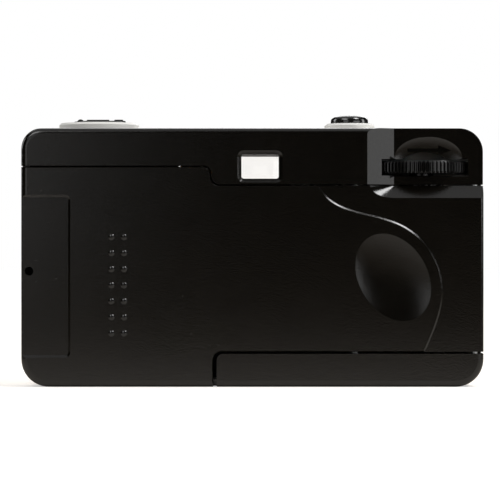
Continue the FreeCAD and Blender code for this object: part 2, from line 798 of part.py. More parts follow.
def wheel_slot():
    """The wheel's opening in the pocket floor: a slot, its edge chamfer and an arched notch above it."""
    x0, x1 = SPOOL_X - SLOT_LEFT, SPOOL_X + SLOT_RIGHT
    y0, y1 = Y_POCKET - THROUGH, Y_POCKET + POCKET_FLOOR_WALL + THROUGH
    slot = block(x0, x1, Y_REAR - THROUGH, y1, SLOT_LOW, SLOT_HIGH)
    edge = tapered(x0, x1, SLOT_LOW, SLOT_HIGH, SLOT_EDGE / 2, SLOT_EDGE, Y_POCKET + SLOT_EDGE, Y_POCKET)
    arch_r = (NOTCH_HALF ** 2 + NOTCH_HIGH ** 2) / (2 * NOTCH_HIGH)
    arch = rod_y(SPOOL_X + NOTCH_SHIFT, SLOT_HIGH + NOTCH_HIGH - arch_r, y0, y1, arch_r)
    notch = arch.common(block(x0, x1, y0, y1, SLOT_HIGH - BITE, SLOT_HIGH + NOTCH_HIGH))
    return slot, edge, notch


def arrow():
    """A shallow engraved arrow over the wheel that shows which way to wind."""
    above_slot = 2.2
    shaft_half = 0.45
    head_half = 1.25
    head_long = 3.2
    sink = 0.15
    z = SLOT_HIGH + above_slot
    x0, x1 = SPOOL_X - 3.9, SPOOL_X + 3.7
    y0, y1 = Y_POCKET - THROUGH, Y_POCKET + SCOOP_SINK + sink
    return sheet([
        V(x0, y0, z - shaft_half),
        V(x1, y0, z - shaft_half),
        V(x1, y0, z - head_half),
        V(x1 + head_long, y0, z),
        V(x1, y0, z + head_half),
        V(x1, y0, z + shaft_half),
        V(x0, y0, z + shaft_half),
    ]).extrude(V(0, y1 - y0, 0))


def field_cutter():
    """What is taken off the door to the right of its curved step, with a sloping edge."""
    edge_line = [(HALF - across, SEAM_RIGHT_Z - down) for across, down in FIELD_EDGE]

    def edge_wire(shift, y):
        points = []
        for i, (x, z) in enumerate(edge_line):
            before = edge_line[max(i - 1, 0)]
            after = edge_line[min(i + 1, len(edge_line) - 1)]
            dx, dz = after[0] - before[0], after[1] - before[1]
            length = math.hypot(dx, dz)
            points.append(V(x + dz / length * shift, y, z - dx / length * shift))
        curve = Part.BSplineCurve()
        curve.interpolate(points)
        first, last = points[0], points[-1]
        return Part.Wire([
            curve.toShape(),
            Part.LineSegment(last, V(FAR, y, last.z)).toShape(),
            Part.LineSegment(V(FAR, y, last.z), V(FAR, y, first.z)).toShape(),
            Part.LineSegment(V(FAR, y, first.z), first).toShape(),
        ])

    return Part.makeLoft([
        edge_wire(0.0, Y_REAR + FIELD_STEP),
        edge_wire(FIELD_SLOPE * 2, Y_REAR - FIELD_STEP),
    ], True, True)


def thumb_dish():
    ratio = (DISH_BALL - DISH_SINK) / DISH_BALL
    spread = math.sqrt(1 - ratio ** 2)
    ball = stretched_ball(DISH_LONG / spread, DISH_BALL, DISH_SHORT / spread)
    ball.rotate(V(0, 0, 0), V(0, 1, 0), -DISH_TILT_DEG)
    ball.translate(V(DISH_X, Y_REAR - (DISH_BALL - DISH_SINK), FILM_Z - DISH_BELOW_LENS))
    return ball


def stud(x, z):
    sunk = 0.2
    ball = (STUD_R ** 2 + STUD_HEIGHT ** 2) / (2 * STUD_HEIGHT)
    dome = Part.makeSphere(ball, V(x, Y_REAR - STUD_HEIGHT + ball, z))
    reach = 2 * STUD_R
    return dome.common(block(x - reach, x + reach, -FAR, Y_REAR + sunk, z - reach, z + reach))


def grip_studs():
    top = FILM_Z + STUD_TOP_ABOVE_LENS
    return [
        stud(STUD_X + column * STUD_COLUMN_STEP, top - row * STUD_ROW_STEP)
        for row in range(STUD_ROWS)
        for column in range(STUD_COLUMNS)
    ]


def eyelet_passage():
    """The strap's way: in at the rear face and out at the side."""
    y_end = Y_REAR + EYELET_DEPTH
    inward = rod_y(EYELET_X, EYELET_Z, Y_REAR - THROUGH, y_end, EYELET_R)
    outward = rod_x(y_end - EYELET_R, EYELET_Z, -HALF - THROUGH, EYELET_X, EYELET_SIDE_R)
    return fuse(inward, outward)


def latch_hook_places():
    """The heights of the undersides of the door's two latch hooks."""
    above_low_end, below_high_end = 4.2, 3.4
    return (LATCH_Z - LATCH_HALF + above_low_end, LATCH_Z + LATCH_HALF - below_high_end)


def door_hooks():
    """The two hooks that the latch holds, each on a foot that joins it to the door's rim."""
    y0, y1 = Y_RIM - 2.5, Y_PART - 1.2
    wall_side = -HALF + 0.5
    hooks = []
    for z in latch_hook_places():
        hooks.append(block(HOOK_X, HOOK_X + HOOK_THICK, y0, y1, z, z + HOOK_HIGH))
        hooks.append(block(wall_side, HOOK_X + HOOK_THICK, y0, Y_RIM, z, z + HOOK_HIGH))
    return hooks


def door_blank():
    """The door's outer form, solid from its face to its rim, with all that is hollowed into its face."""
    region = door_region(0, 0, 0, Y_REAR, Y_RIM)
    region = region.makeChamfer(DOOR_EDGE_CHAMFER, edges_at_depth(region, Y_REAR))
    pull = tapered(
        -FAR, PULL_RIGHT_X, PULL_LOW_Z, PULL_HIGH_Z, PULL_CORNER_R, PULL_SLOPE, Y_REAR + PULL_DEPTH, Y_REAR
    )
    return cut(rear_form().common(region), field_cutter(), pull, pocket(), thumb_dish())


def eyelet_block(clear):
    """The room of the strap eyelet's insert, grown by clear."""
    half = EYELET_INSERT_HALF + clear
    return block(
        -HALF - THROUGH, -HALF + EYELET_INSERT_W + clear, Y_REAR - THROUGH, Y_RIM + THROUGH,
        EYELET_Z - half, EYELET_Z + half,
    )


def eyelet_insert():
    """A hard insert pressed into the door's free edge, flush with it, that takes the strap."""
    return cut(door_blank().common(eyelet_block(0)), eyelet_passage())


def rear_door():
    hollow = door_region(-DOOR_RIM, -DOOR_RIM, -DOOR_RIM, Y_PLATE, Y_RIM + THROUGH)
    hollow = hollow.common(body_prism(DOOR_RIM, Y_PLATE, Y_RIM + THROUGH))
    door = cut(door_blank(), hollow, eyelet_block(EYELET_INSERT_FIT))
    dish_z = FILM_Z - DISH_BELOW_LENS
    dish_back = rod_y(DISH_X, dish_z, Y_PLATE - BITE, Y_PLATE + DISH_BACK, DISH_SHORT)
    knuckle = post(HINGE_X, HINGE_Y, STRIP_TOP_Z + SEAM_GAP, SEAM_RIGHT_Z - SEAM_GAP, KNUCKLE_R)
    y_guide = Y_FILM - 0.25
    guides = [
        rod_y(OPTICAL_X + side * GUIDE_OFF, FILM_Z, Y_PLATE - BITE, y_guide, GUIDE_R) for side in (-1, 1)
    ]
    door = fuse(door, knuckle, dish_back, *grip_studs(), *guides, *door_hooks())
    return cut(door, post(HINGE_X, HINGE_Y, -THROUGH, HEIGHT, HINGE_PIN_R + RUN_CLEAR))


def hinge_lugs():
    """The rear housing's two lugs that hold the hinge pin, above and below the door's knuckle."""
    x0, x1 = HINGE_X - 2.2, HALF - 0.8
    y0, y1 = HINGE_Y - 2.0, HINGE_Y + 2.3
    skin = 0.4
    inside = body_prism(skin, Y_REAR + skin, Y_PART)
    upper = block(x0, x1, y0, y1, SEAM_RIGHT_Z + SEAM_GAP, WHEEL_LOW - 0.3)
    lower = block(x0, x1, y0, y1, LUG_LOW_Z, STRIP_TOP_Z - STRIP_GAP)
    return upper.common(inside), lower.common(inside)


def knuckle_room():
    """Where the door's knuckle turns and swings out through the side."""
    z0, z1 = STRIP_TOP_Z - STRIP_GAP, SEAM_RIGHT_Z + SEAM_GAP
    y_end = HINGE_Y + KNUCKLE_R + 2.5 * KNUCKLE_CLEAR
    turning = post(HINGE_X, HINGE_Y, z0, z1, KNUCKLE_R + KNUCKLE_CLEAR)
    swinging = block(HINGE_X, HALF + THROUGH, HINGE_Y - 1, y_end, z0, z1)
    return turning, swinging


def finder_opening():
    """The finder's bevelled window in the rear housing, and the seat of its pane."""
    half_w, half_h = FINDER_W / 2, FINDER_H / 2
    bevel = tapered(
        OPTICAL_X - half_w, OPTICAL_X + half_w, FINDER_Z - half_h, FINDER_Z + half_h,
        FINDER_CORNER_R, FINDER_BEVEL, Y_REAR + FINDER_BEVEL_DEPTH, Y_REAR,
    )
    way = centred_prism(OPTICAL_X, FINDER_Z, half_w, half_h, FINDER_CORNER_R, Y_REAR, Y_FRAME + THROUGH)
    return bevel, way, eyepiece_room(EYEPIECE_CLEAR, Y_PART)


def latch_slot():
    """The slot in the side that the latch's knob slides in."""
    end_clear = 0.3
    half = LATCH_WIDE / 2 - 0.1
    return block(
        -HALF - THROUGH, -HALF + WALL + 0.2, LATCH_Y - half, LATCH_Y + half,
        LATCH_Z - LATCH_KNOB_HALF - LATCH_TRAVEL - end_clear, LATCH_Z + LATCH_KNOB_HALF + end_clear,
    )


def rear_housing():
    form = rear_form()
    seam_above = SEAM_RIGHT_Z + SEAM_GAP
    y_open = Y_REAR - THROUGH
    ledge = door_region(SEAM_GAP + LEDGE, STRIP_GAP + LEDGE, STRIP_SIDE_GAP + LEDGE, y_open, Y_FRAME)
    pocket_back = block(
        SPOOL_X - POCKET_WALL_LEFT, FAR, Y_REAR, Y_POCKET + POCKET_FLOOR_WALL, SEAM_RIGHT_Z, HEIGHT
    )
    boss_half, boss_high = 6.6, 4.6
    finder_boss = block(
        OPTICAL_X - boss_half, OPTICAL_X + boss_half, Y_REAR, Y_FRAME, seam_above, FINDER_Z + boss_high
    )
    hollow = cut(body_prism(WALL, Y_REAR + WALL, Y_PART + THROUGH), ledge, pocket_back, finder_boss)
    opening = door_region(SEAM_GAP, STRIP_GAP, STRIP_SIDE_GAP, y_open, Y_FRAME)
    wheel_room = post(SPOOL_X, WHEEL_Y, SLOT_LOW, SLOT_HIGH, WHEEL_R + SLOT_CLEAR)
    housing = cut(
        form, hollow, opening, pocket(), *wheel_slot(), wheel_room, scoop(), arrow(), *finder_opening()
    )
    housing = fuse(housing, *hinge_lugs())
    screws = [screw_hole(x, y) for x, y in screw_places() if y < Y_PART]
    return cut(
        housing,
        *knuckle_room(),
        latch_slot(),
        post(HINGE_X, HINGE_Y, HINGE_PIN_LOW_Z, WHEEL_LOW, HINGE_PIN_R),
        post(CARTRIDGE_X, CARTRIDGE_Y, COVER_IN_Z - 1.2, HEIGHT + THROUGH, CRANK_RING_R + 0.08),
        post(SPROCKET_X, RELEASE_Y, -THROUGH, WALL + THROUGH, RELEASE_R + RELEASE_CLEAR),
        *screws,
    )


def screw_places():
    """Two screws through the rear housing's floor and two through the front cover's."""
    return (
        (CARTRIDGE_X + CHAMBER_R + 2.1, SCREW_REAR_Y),
        (SPOOL_X + 3.7, SCREW_REAR_Y),
        (CARTRIDGE_X + CHAMBER_R - 3.3, Y_FACE - 5.0),
        (SPOOL_X - 0.3, WHEEL_Y + 8.65),
    )


def screw_hole(x, y):
    return fuse(
        post(x, y, -THROUGH, SCREW_HEAD + SCREW_CLEAR, SCREW_HEAD_R + SCREW_CLEAR),
        post(x, y, 0, WALL + 0.5, SCREW_R + SCREW_CLEAR),
    )


def eyepiece_room(clear, y1):
    """The finder's rear pane, grown by clear, from its seat to depth y1."""
    seat = 0.5
    half_w = FINDER_W / 2 + EYEPIECE_LIP + clear
    half_h = FINDER_H / 2 + EYEPIECE_LIP + clear
    y0 = Y_REAR + FINDER_BEVEL_DEPTH + seat
    return block(OPTICAL_X - half_w, OPTICAL_X + half_w, y0, y1, FINDER_Z - half_h, FINDER_Z + half_h)


def eyepiece():
    hollow_r, hollow_sink = 40.0, 0.35
    y_back = Y_REAR + FINDER_BEVEL_DEPTH + 0.5
    pane = eyepiece_room(0, y_back + EYEPIECE_THICK)
    return cut(pane, Part.makeSphere(hollow_r, V(OPTICAL_X, y_back - hollow_r + hollow_sink, FINDER_Z)))


def crank_ring():
    lead_in = 0.25
    profile = [
        (CRANK_WELL_R, COVER_IN_Z),
        (CRANK_WELL_R, TOP_RING_Z - lead_in),
        (CRANK_WELL_R + lead_in, TOP_RING_Z),
        (CRANK_RING_R - CRANK_RING_CHAMFER, TOP_RING_Z),
        (CRANK_RING_R, TOP_RING_Z - CRANK_RING_CHAMFER),
        (CRANK_RING_R, COVER_IN_Z),
    ]
    return turned(profile, CARTRIDGE_X, CARTRIDGE_Y, True)


def button_ring():
    inner = BUTTON_R + BUTTON_CLEAR
    lead_in, chamfer = 0.2, 0.5
    profile = [
        (inner, COVER_IN_Z),
        (inner, TOP_RING_Z - lead_in),
        (inner + lead_in, TOP_RING_Z),
        (BUTTON_RING_R - chamfer, TOP_RING_Z),
        (BUTTON_RING_R, TOP_RING_Z - chamfer),
        (BUTTON_RING_R, COVER_IN_Z),
    ]
    return turned(profile, BUTTON_X, BUTTON_Y, True)


def cover_shell():
    """The front cover's shell with the crank's tab and ring, the button's ring and the flash rim."""
    cover = body_prism(0, Y_PART, Y_FACE)
    cover = cover.makeFillet(FRONT_EDGE_R, edges_at_depth(cover, Y_FACE))
    cover = cover.makeChamfer(PARTING_CHAMFER, edges_at_depth(cover, Y_PART))
    cover = cut(cover, body_prism(WALL, Y_PART - THROUGH, Y_COVER_IN))
    tab = post(CARTRIDGE_X, CARTRIDGE_Y, COVER_IN_Z, HEIGHT, CRANK_RING_R)
    rim = 1.2
    pad = centred_prism(
        FLASH_X, FLASH_Z, FLASH_W / 2 + FLASH_RIM, FLASH_H / 2 + rim, FLASH_RIM,
        Y_FACE - THROUGH, Y_FACE + FLASH_RIM_PROUD,
    )
    return fuse(cover, tab, crank_ring(), button_ring(), pad)


def cover_openings():
    """What is cut through the front cover's face and top."""
    inside, outside = Y_COVER_IN - THROUGH, Y_FACE + THROUGH
    low = COVER_IN_Z - THROUGH
    window_seat_r = COUNTER_WINDOW_R + COUNTER_WINDOW_LIP + 0.05
    switch_half_w = SWITCH_HALF_W + SWITCH_CLEAR
    switch_z0 = SWITCH_Z - SWITCH_HALF_H - SWITCH_CLEAR - SWITCH_TRAVEL
    switch_z1 = SWITCH_Z + SWITCH_HALF_H + SWITCH_CLEAR
    return [
        post(CARTRIDGE_X, CARTRIDGE_Y, CRANK_FLOOR_Z, FAR, CRANK_WELL_R),
        post(CARTRIDGE_X, CARTRIDGE_Y, low, FAR, REWIND_SHAFT_R + RUN_CLEAR),
        post(BUTTON_X, BUTTON_Y, low, FAR, BUTTON_R + BUTTON_CLEAR),
        rod_y(OPTICAL_X, FILM_Z, Y_PART, FAR, BEZEL_SLEEVE_R + 0.05),
        centred_prism(
            OPTICAL_X, FINDER_Z, FINDER_FRONT_W / 2 + 1.0, FINDER_FRONT_H / 2 + 0.5, 1.2, inside, outside
        ),
        centred_prism(FLASH_X, FLASH_Z, FLASH_W / 2, FLASH_H / 2, 1.0, inside, outside + THROUGH),
        rounded_prism(
            SWITCH_X - switch_half_w, SWITCH_X + switch_half_w, switch_z0, switch_z1, 0.8, inside, outside
        ),
        post(COUNTER_WINDOW_X, COUNTER_Y, low, HEIGHT - COUNTER_WINDOW_FACE, window_seat_r),
        post(COUNTER_WINDOW_X, COUNTER_Y, low, HEIGHT + THROUGH, COUNTER_WINDOW_R),
        post(LAMP_X, LAMP_Y, low, HEIGHT + THROUGH, LAMP_R),
    ]


def lid_openings():
    """The battery lid's room in the front cover's floor: its plate, its knuckle and its pin."""
    y0, y1 = lid_y_range()
    swing = LID_HINGE_R + 0.3
    return [
        block(
            LID_HINGE_X - LID_CLEAR, BAY_X1 + LID_OVERLAP + LID_CLEAR, y0 - LID_CLEAR, y1 + LID_CLEAR,
            -THROUGH, WALL + 0.5,
        ),
        rod_y(LID_HINGE_X, LID_HINGE_Z, y0 - LID_CLEAR, y1 + LID_CLEAR, LID_HINGE_R + LID_HINGE_CLEAR),
        lid_pin(RUN_CLEAR),
        block(LID_HINGE_X - swing, LID_HINGE_X, y0 - LID_CLEAR, y1 + LID_CLEAR, -THROUGH, LID_HINGE_Z),
    ]


def grip_ribs():
    """Upright ribs for the fingers of the right hand, on the face."""
    ribs = []
    for rib in range(GRIP_RIBS):
        x = HALF - GRIP_FROM_SIDE + rib * GRIP_STEP
        ribs.append(block(
            x, x + GRIP_W, Y_FACE - 0.2, Y_FACE + GRIP_PROUD, FILM_Z - GRIP_BELOW, FILM_Z + GRIP_ABOVE
        ))
    return ribs


def front_cover():
    screws = [screw_hole(x, y) for x, y in screw_places() if y > Y_PART]
    cover = cut(cover_shell(), *cover_openings(), *lid_openings(), *screws)
    counter_post = post(
        COUNTER_X, COUNTER_Y, COUNTER_LOW_Z - COUNTER_POST_LONG, COVER_IN_Z + BITE, COUNTER_POST_R
    )
    return fuse(cover, counter_post, *grip_ribs(), *board_posts())


def lid_y_range():
    return CELL_Y - BAY_HALF, CELL_Y + BAY_HALF


def lid_pin(grow):
    y0, y1 = lid_y_range()
    reach = LID_PIN_LONG + grow * 3
    return rod_y(LID_HINGE_X, LID_HINGE_Z, y0 - reach, y1 + reach, LID_PIN_R + grow)


def battery_lid():
    y0, y1 = lid_y_range()
    plate = block(LID_HINGE_X, BAY_X1 + LID_OVERLAP, y0, y1, LID_LIFT, WALL - 0.1)
    knuckle = rod_y(LID_HINGE_X, LID_HINGE_Z, y0, y1, LID_HINGE_R)
    nick = block(BAY_X1 - 4.0, BAY_X1 - 0.6, CELL_Y - 3.0, CELL_Y + 3.0, -THROUGH, 0.6)
    lip = block(BAY_X1 - 0.9, BAY_X1 - 0.1, y0 + 2, y1 - 2, WALL - 0.2, WALL + 0.7)
    corner = block(
        LID_HINGE_X - 2, LID_HINGE_X, y0 - 0.01, y1 + 0.01, LID_HINGE_Z + 0.01, WALL + THROUGH
    )
    corner = cut(corner, rod_y(LID_HINGE_X, LID_HINGE_Z, y0 - THROUGH, y1 + THROUGH, LID_HINGE_R))
    return cut(fuse(plate, knuckle, lid_pin(0), lip), nick, corner)


def cartridge_chamber():
    """The film cartridge's round chamber: its outer form and its inside, open to the rear."""
    reach = CHAMBER_R + SHELL
    z0, z1 = CHAMBER_LOW_Z - SHELL + 0.1, CHAMBER_HIGH_Z + SHELL
    outer = fuse(
        post(CARTRIDGE_X, CARTRIDGE_Y, z0, z1, reach),
        block(CARTRIDGE_X - reach, CARTRIDGE_X + reach, Y_PLATE + 0.6, CARTRIDGE_Y, z0, z1),
    )
    inner = fuse(
        post(CARTRIDGE_X, CARTRIDGE_Y, CHAMBER_LOW_Z, CHAMBER_HIGH_Z, CHAMBER_R),
        block(
            CARTRIDGE_X - CHAMBER_R, CARTRIDGE_X + CHAMBER_R, -FAR, CARTRIDGE_Y,
            CHAMBER_LOW_Z, CHAMBER_HIGH_Z,
        ),
    )
    shell_gap = 0.3
    return outer.common(body_prism(WALL + shell_gap, -FAR, FAR)), inner


def takeup_chamber():
    """The take-up spool's round chamber: its outer form and its inside, open to the rear."""
    right = SPOOL_X + TAKEUP_R - 0.1
    low, high = FILM_LOW - SHELL, DECK_Z
    front_of_mouth = 3.4
    outer = fuse(
        post(SPOOL_X, WHEEL_Y, low, high, TAKEUP_R + SHELL),
        block(SPOOL_X - TAKEUP_R - SHELL, right, Y_FILM + RAIL, WHEEL_Y, low, high),
    )
    inner = fuse(
        post(SPOOL_X, WHEEL_Y, FILM_LOW, FILM_HIGH, TAKEUP_R),
        block(SPOOL_X - TAKEUP_R, right - SHELL, -FAR, WHEEL_Y - front_of_mouth, FILM_LOW, FILM_HIGH),
    )
    return outer, inner


def film_guides():
    """The two rails that the film runs on and the two edges that keep it level."""
    x0, x1 = OPTICAL_X - GATE_W / 2 - PRESS_LEFT, OPTICAL_X + GATE_W / 2 + 1.5
    guide_proud = 0.3
    rails = [
        block(x0, x1, Y_FILM, Y_FILM + RAIL, z, z + RAIL_W)
        for z in (FILM_Z - GATE_H / 2 - 2 * RAIL_W, FILM_Z + GATE_H / 2 + RAIL_W)
    ]
    edges = [
        block(x0, x1, Y_FILM - guide_proud, Y_GATE, z, z + SHELL) for z in (FILM_LOW - SHELL, FILM_HIGH)
    ]
    return rails + edges


def chassis_bosses():
    """The posts that take the four housing screws, clear of the door's opening."""
    frame_room = block(-FAR, FAR, -FAR, Y_FRAME + 0.2, STRIP_TOP_Z - STRIP_GAP - LEDGE - 0.2, FAR)
    bosses = []
    for x, y in screw_places():
        top = FILM_LOW + 0.6 if x < OPTICAL_X else FILM_LOW - SHELL + BITE
        bosses.append(cut(post(x, y, WALL, top, BOSS_R), frame_room))
    return bosses


def rocker_stand():
    """The shelf and the two ears that carry the release rocker."""
    inner = ROCKER_HALF + ROCKER_SIDE_CLEAR
    shelf_half = ROCKER_HALF + 1.6
    y0, y1 = ROCKER_Y - 1.4, ROCKER_Y + 1.5
    shelf = block(BUTTON_X - shelf_half, BUTTON_X + shelf_half, Y_FLANGE - 1, y1, FILM_HIGH, DECK_Z)
    ears = [
        block(x, x + EAR_THICK, y0, y1, DECK_Z - 0.2, ROCKER_Z + 1.4)
        for x in (BUTTON_X - inner - EAR_THICK, BUTTON_X + inner)
    ]
    return [shelf] + ears


def chassis():
    chamber_outer, chamber_inner = cartridge_chamber()
    takeup_outer, takeup_inner = takeup_chamber()
    chamber_right = CARTRIDGE_X + CHAMBER_R
    takeup_left = SPOOL_X - TAKEUP_R
    low = FILM_LOW - SHELL
    gate = block(chamber_right, takeup_left, Y_FILM + RAIL, Y_GATE, low, DECK_Z)
    deck = block(chamber_right, SPOOL_X, Y_FILM + RAIL, Y_FLANGE - 0.4, FILM_HIGH, DECK_Z)
    bearing_web = block(SPROCKET_X - 3, takeup_left, SPROCKET_Y - 3.4, SPROCKET_Y + 2.2, low, FILM_LOW)
    frame = fuse(chamber_outer, gate, takeup_outer, deck, bearing_web, *film_guides(), *chassis_bosses())
    tooth_circle_r = SPROCKET_R + SPROCKET_TOOTH_HEIGHT + 0.3
    frame = cut(
        frame,
        chamber_inner,
        takeup_inner,
        post(SPROCKET_X, SPROCKET_Y, SPROCKET_Z - SPROCKET_DRUM / 2 - 0.5, FILM_HIGH, tooth_circle_r),
        post(SPROCKET_X, SPROCKET_Y, FILM_LOW, FILM_HIGH, SPROCKET_SHAFT_R + 0.5),
        block(
            OPTICAL_X - GATE_W / 2, OPTICAL_X + GATE_W / 2, -FAR, Y_GATE + THROUGH,
            FILM_Z - GATE_H / 2, FILM_Z + GATE_H / 2,
        ),
        block(chamber_right - 0.5, FAR, -FAR, Y_FILM - 0.31, 0, DECK_Z + THROUGH),
        block(-FAR, chamber_right, -FAR, Y_PLATE + 0.6, 0, CHAMBER_HIGH_Z + SHELL + THROUGH),
    )
    pivots = [
        post(*PAWL_PIVOT, DECK_Z - 0.2, RATCHET_LOW + 1.5, PIVOT_R),
        post(*STRIKER_PIVOT, DECK_Z - 0.2, STRIKER_HIGH + 0.4, PIVOT_R),
    ]
    frame = fuse(frame, *rocker_stand(), *pivots)
    return cut(frame, *chassis_bearings())


def chassis_bearings():
    """The bores that the shafts run in, and the screws' pilot holes."""
    low, high = FILM_LOW - SHELL - THROUGH, DECK_Z + THROUGH
    roof = CHAMBER_HIGH_Z + SHELL + THROUGH
    bores = [
        post(SPROCKET_X, SPROCKET_Y, low, high, SPROCKET_SHAFT_R + RUN_CLEAR),
        post(SPOOL_X, WHEEL_Y, FILM_HIGH - 0.5, high, HUB_R + RUN_CLEAR),
        post(SPOOL_X, WHEEL_Y, low, FILM_LOW + 0.5, SPOOL_FOOT_R + RUN_CLEAR),
        post(CARTRIDGE_X, CARTRIDGE_Y, CHAMBER_HIGH_Z - 0.5, roof, REWIND_SHAFT_R + RUN_CLEAR),
        rod_x(ROCKER_Y, ROCKER_Z, BUTTON_X - 9, BUTTON_X + 5, ROCKER_PIN_R + RUN_CLEAR),
    ]
    return bores + [post(x, y, WALL, WALL + SCREW_LONG, SCREW_R) for x, y in screw_places()]


def tooth_room():
    """Room for the sprocket's teeth to pass."""
    clear = 0.2
    half = SPROCKET_TOOTH_HALF + clear
    circle_r = SPROCKET_R + SPROCKET_TOOTH_HEIGHT + clear
    return post(SPROCKET_X, SPROCKET_Y, SPROCKET_Z - half, SPROCKET_Z + half, circle_r)


def light_tunnel():
    def box_wire(width, height, y):
        half_w, half_h = width / 2, height / 2
        x0, x1 = OPTICAL_X - half_w, OPTICAL_X + half_w
        z0, z1 = FILM_Z - half_h, FILM_Z + half_h
        corners = [V(x0, y, z0), V(x1, y, z0), V(x1, y, z1), V(x0, y, z1)]
        return Part.makePolygon(corners + corners[:1])

    y0, y1 = Y_GATE, Y_FLANGE
    front, past_gate = TUNNEL_FRONT_W, 0.02
    outside = Part.makeLoft([
        box_wire(GATE_W + 2 * SHELL, GATE_H + 2 * SHELL, y0),
        box_wire(front + 2 * SHELL, front + 2 * SHELL, y1),
    ], True, True)
    inside = Part.makeLoft([
        box_wire(GATE_W + past_gate, GATE_H + past_gate, y0),
        box_wire(front, front, y1),
    ], True, True)
    y_flange_front = Y_FLANGE + FLANGE_THICK
    flange = block(
        OPTICAL_X - FLANGE_HALF, OPTICAL_X + FLANGE_HALF, Y_FLANGE, y_flange_front,
        FILM_Z - FLANGE_HALF, FILM_Z + FLANGE_HALF,
    )
    px, pz = OPTICAL_X + BLADE_PIVOT_DX, FILM_Z + BLADE_PIVOT_DZ
    pivot = rod_y(px, pz, Y_FLANGE, Y_BARREL - 0.05, BLADE_PIVOT_R)
    bore = rod_y(OPTICAL_X, FILM_Z, Y_FLANGE - THROUGH, y_flange_front + BITE, FLANGE_BORE_R)
    return cut(fuse(outside, flange, pivot), inside, bore, tooth_room())


def shutter_blade():
    """The leaf in front of the light tunnel, with a tail that the striker kicks."""
    px, pz = OPTICAL_X + BLADE_PIVOT_DX, FILM_Z + BLADE_PIVOT_DZ
    y0, y1 = Y_BLADE, Y_BLADE + BLADE_THICK

    def strip(x0, z0, x1, z1, half):
        length = math.hypot(x1 - x0, z1 - z0)
        nx, nz = -(z1 - z0) / length * half, (x1 - x0) / length * half
        return sheet([
            V(x0 + nx, y0, z0 + nz),
            V(x0 - nx, y0, z0 - nz),
            V(x1 - nx, y0, z1 - nz),
            V(x1 + nx, y0, z1 + nz),
        ]).extrude(V(0, BLADE_THICK, 0))

    arm_half, tail_half = 1.3, 0.9
    leaf = rod_y(OPTICAL_X, FILM_Z, y0, y1, BLADE_DISC_R)
    hub = rod_y(px, pz, y0, y1, BLADE_HUB_R)
    arm = strip(OPTICAL_X, FILM_Z, px, pz, arm_half)
    tail = strip(px, pz, px + BLADE_TAIL_DX, pz + BLADE_TAIL_DZ, tail_half)
    bore = rod_y(px, pz, y0 - THROUGH, y1 + THROUGH, BLADE_PIVOT_R + RUN_CLEAR)
    return cut(fuse(leaf, hub, arm, tail), bore)


def lens_barrel():
    y0 = Y_BARREL
    y_front = Y_FRONT - LENS_SUNK
    seat_r = REAR_LENS_R + LENS_SEAT_CLEAR
    cone_r = STOP_R + 1.4
    profile = [
        (seat_r, y0),
        (BARREL_FLANGE_R, y0),
        (BARREL_FLANGE_R, y0 + BARREL_FLANGE),
        (BARREL_R, y0 + BARREL_FLANGE),
        (BARREL_R, y_front),
        (BARREL_BORE_R, y_front),
        (BARREL_BORE_R, y0 + BARREL_SHELF),
        (cone_r, y0 + BARREL_SHELF),
        (cone_r, y0 + BARREL_STEP),
        (seat_r, y0 + BARREL_STEP),
    ]
    barrel = turned(profile, OPTICAL_X, FILM_Z, False)
    legs = []
    for angle in BARREL_LEG_ANGLES:
        turn = math.radians(angle)
        x = OPTICAL_X + BARREL_LEG_CIRCLE_R * math.cos(turn)
        z = FILM_Z + BARREL_LEG_CIRCLE_R * math.sin(turn)
        legs.append(rod_y(x, z, Y_FLANGE + FLANGE_THICK, y0 + 2 * BITE, BARREL_LEG_R))
    return fuse(barrel, *legs)


def rear_lens():
    sunk, rear_bulge, front_bulge = 0.5, 0.3, 0.35
    y0 = Y_BARREL + sunk
    return lens(OPTICAL_X, FILM_Z, y0, y0 + REAR_LENS_THICK, REAR_LENS_R, rear_bulge, front_bulge)


def aperture_plate():
    y0 = Y_BARREL + BARREL_SHELF + LENS_SEAT_CLEAR
    y1 = y0 + STOP_THICK
    outer = BARREL_BORE_R - 0.05
    return turned([(STOP_R, y0), (outer, y0), (outer, y1), (STOP_R, y1)], OPTICAL_X, FILM_Z, False)


def front_lens():
    rear_bulge, front_bulge = 0.25, 0.55
    y1 = Y_FRONT - FRONT_LENS_SUNK
    return lens(OPTICAL_X, FILM_Z, y1 - FRONT_LENS_THICK, y1, FRONT_LENS_R, rear_bulge, front_bulge)


def retaining_ring():
    y1 = Y_FRONT - LENS_SUNK
    outer = BARREL_BORE_R - 0.03
    profile = [(4.3, y1 - 0.1), (outer, y1 - 0.85), (outer, y1), (4.6, y1)]
    return turned(profile, OPTICAL_X, FILM_Z, False)


def lens_bezel():
    inner = BARREL_R + BEZEL_CLEAR
    sleeve_in_r = BEZEL_SLEEVE_R - BEZEL_SLEEVE
    y_sleeve = Y_COVER_IN - BEZEL_SLEEVE
    profile = [
        (inner, Y_FRONT - 2.6),
        (inner, Y_FRONT - 2.2),
        (BEZEL_SLEEVE_R - 1.6, Y_FRONT - 0.9),
        (BEZEL_SLEEVE_R - 1.2, Y_FRONT),
        (BEZEL_R - 1.6, Y_FRONT),
        (BEZEL_R, Y_FRONT - 1.6),
        (BEZEL_R, Y_FACE),
        (BEZEL_SLEEVE_R, Y_FACE),
        (BEZEL_SLEEVE_R, y_sleeve),
        (sleeve_in_r, y_sleeve),
        (sleeve_in_r, Y_FRONT - 3.2),
        (inner, Y_FRONT - 3.2),
    ]
    return turned(profile, OPTICAL_X, FILM_Z, False)


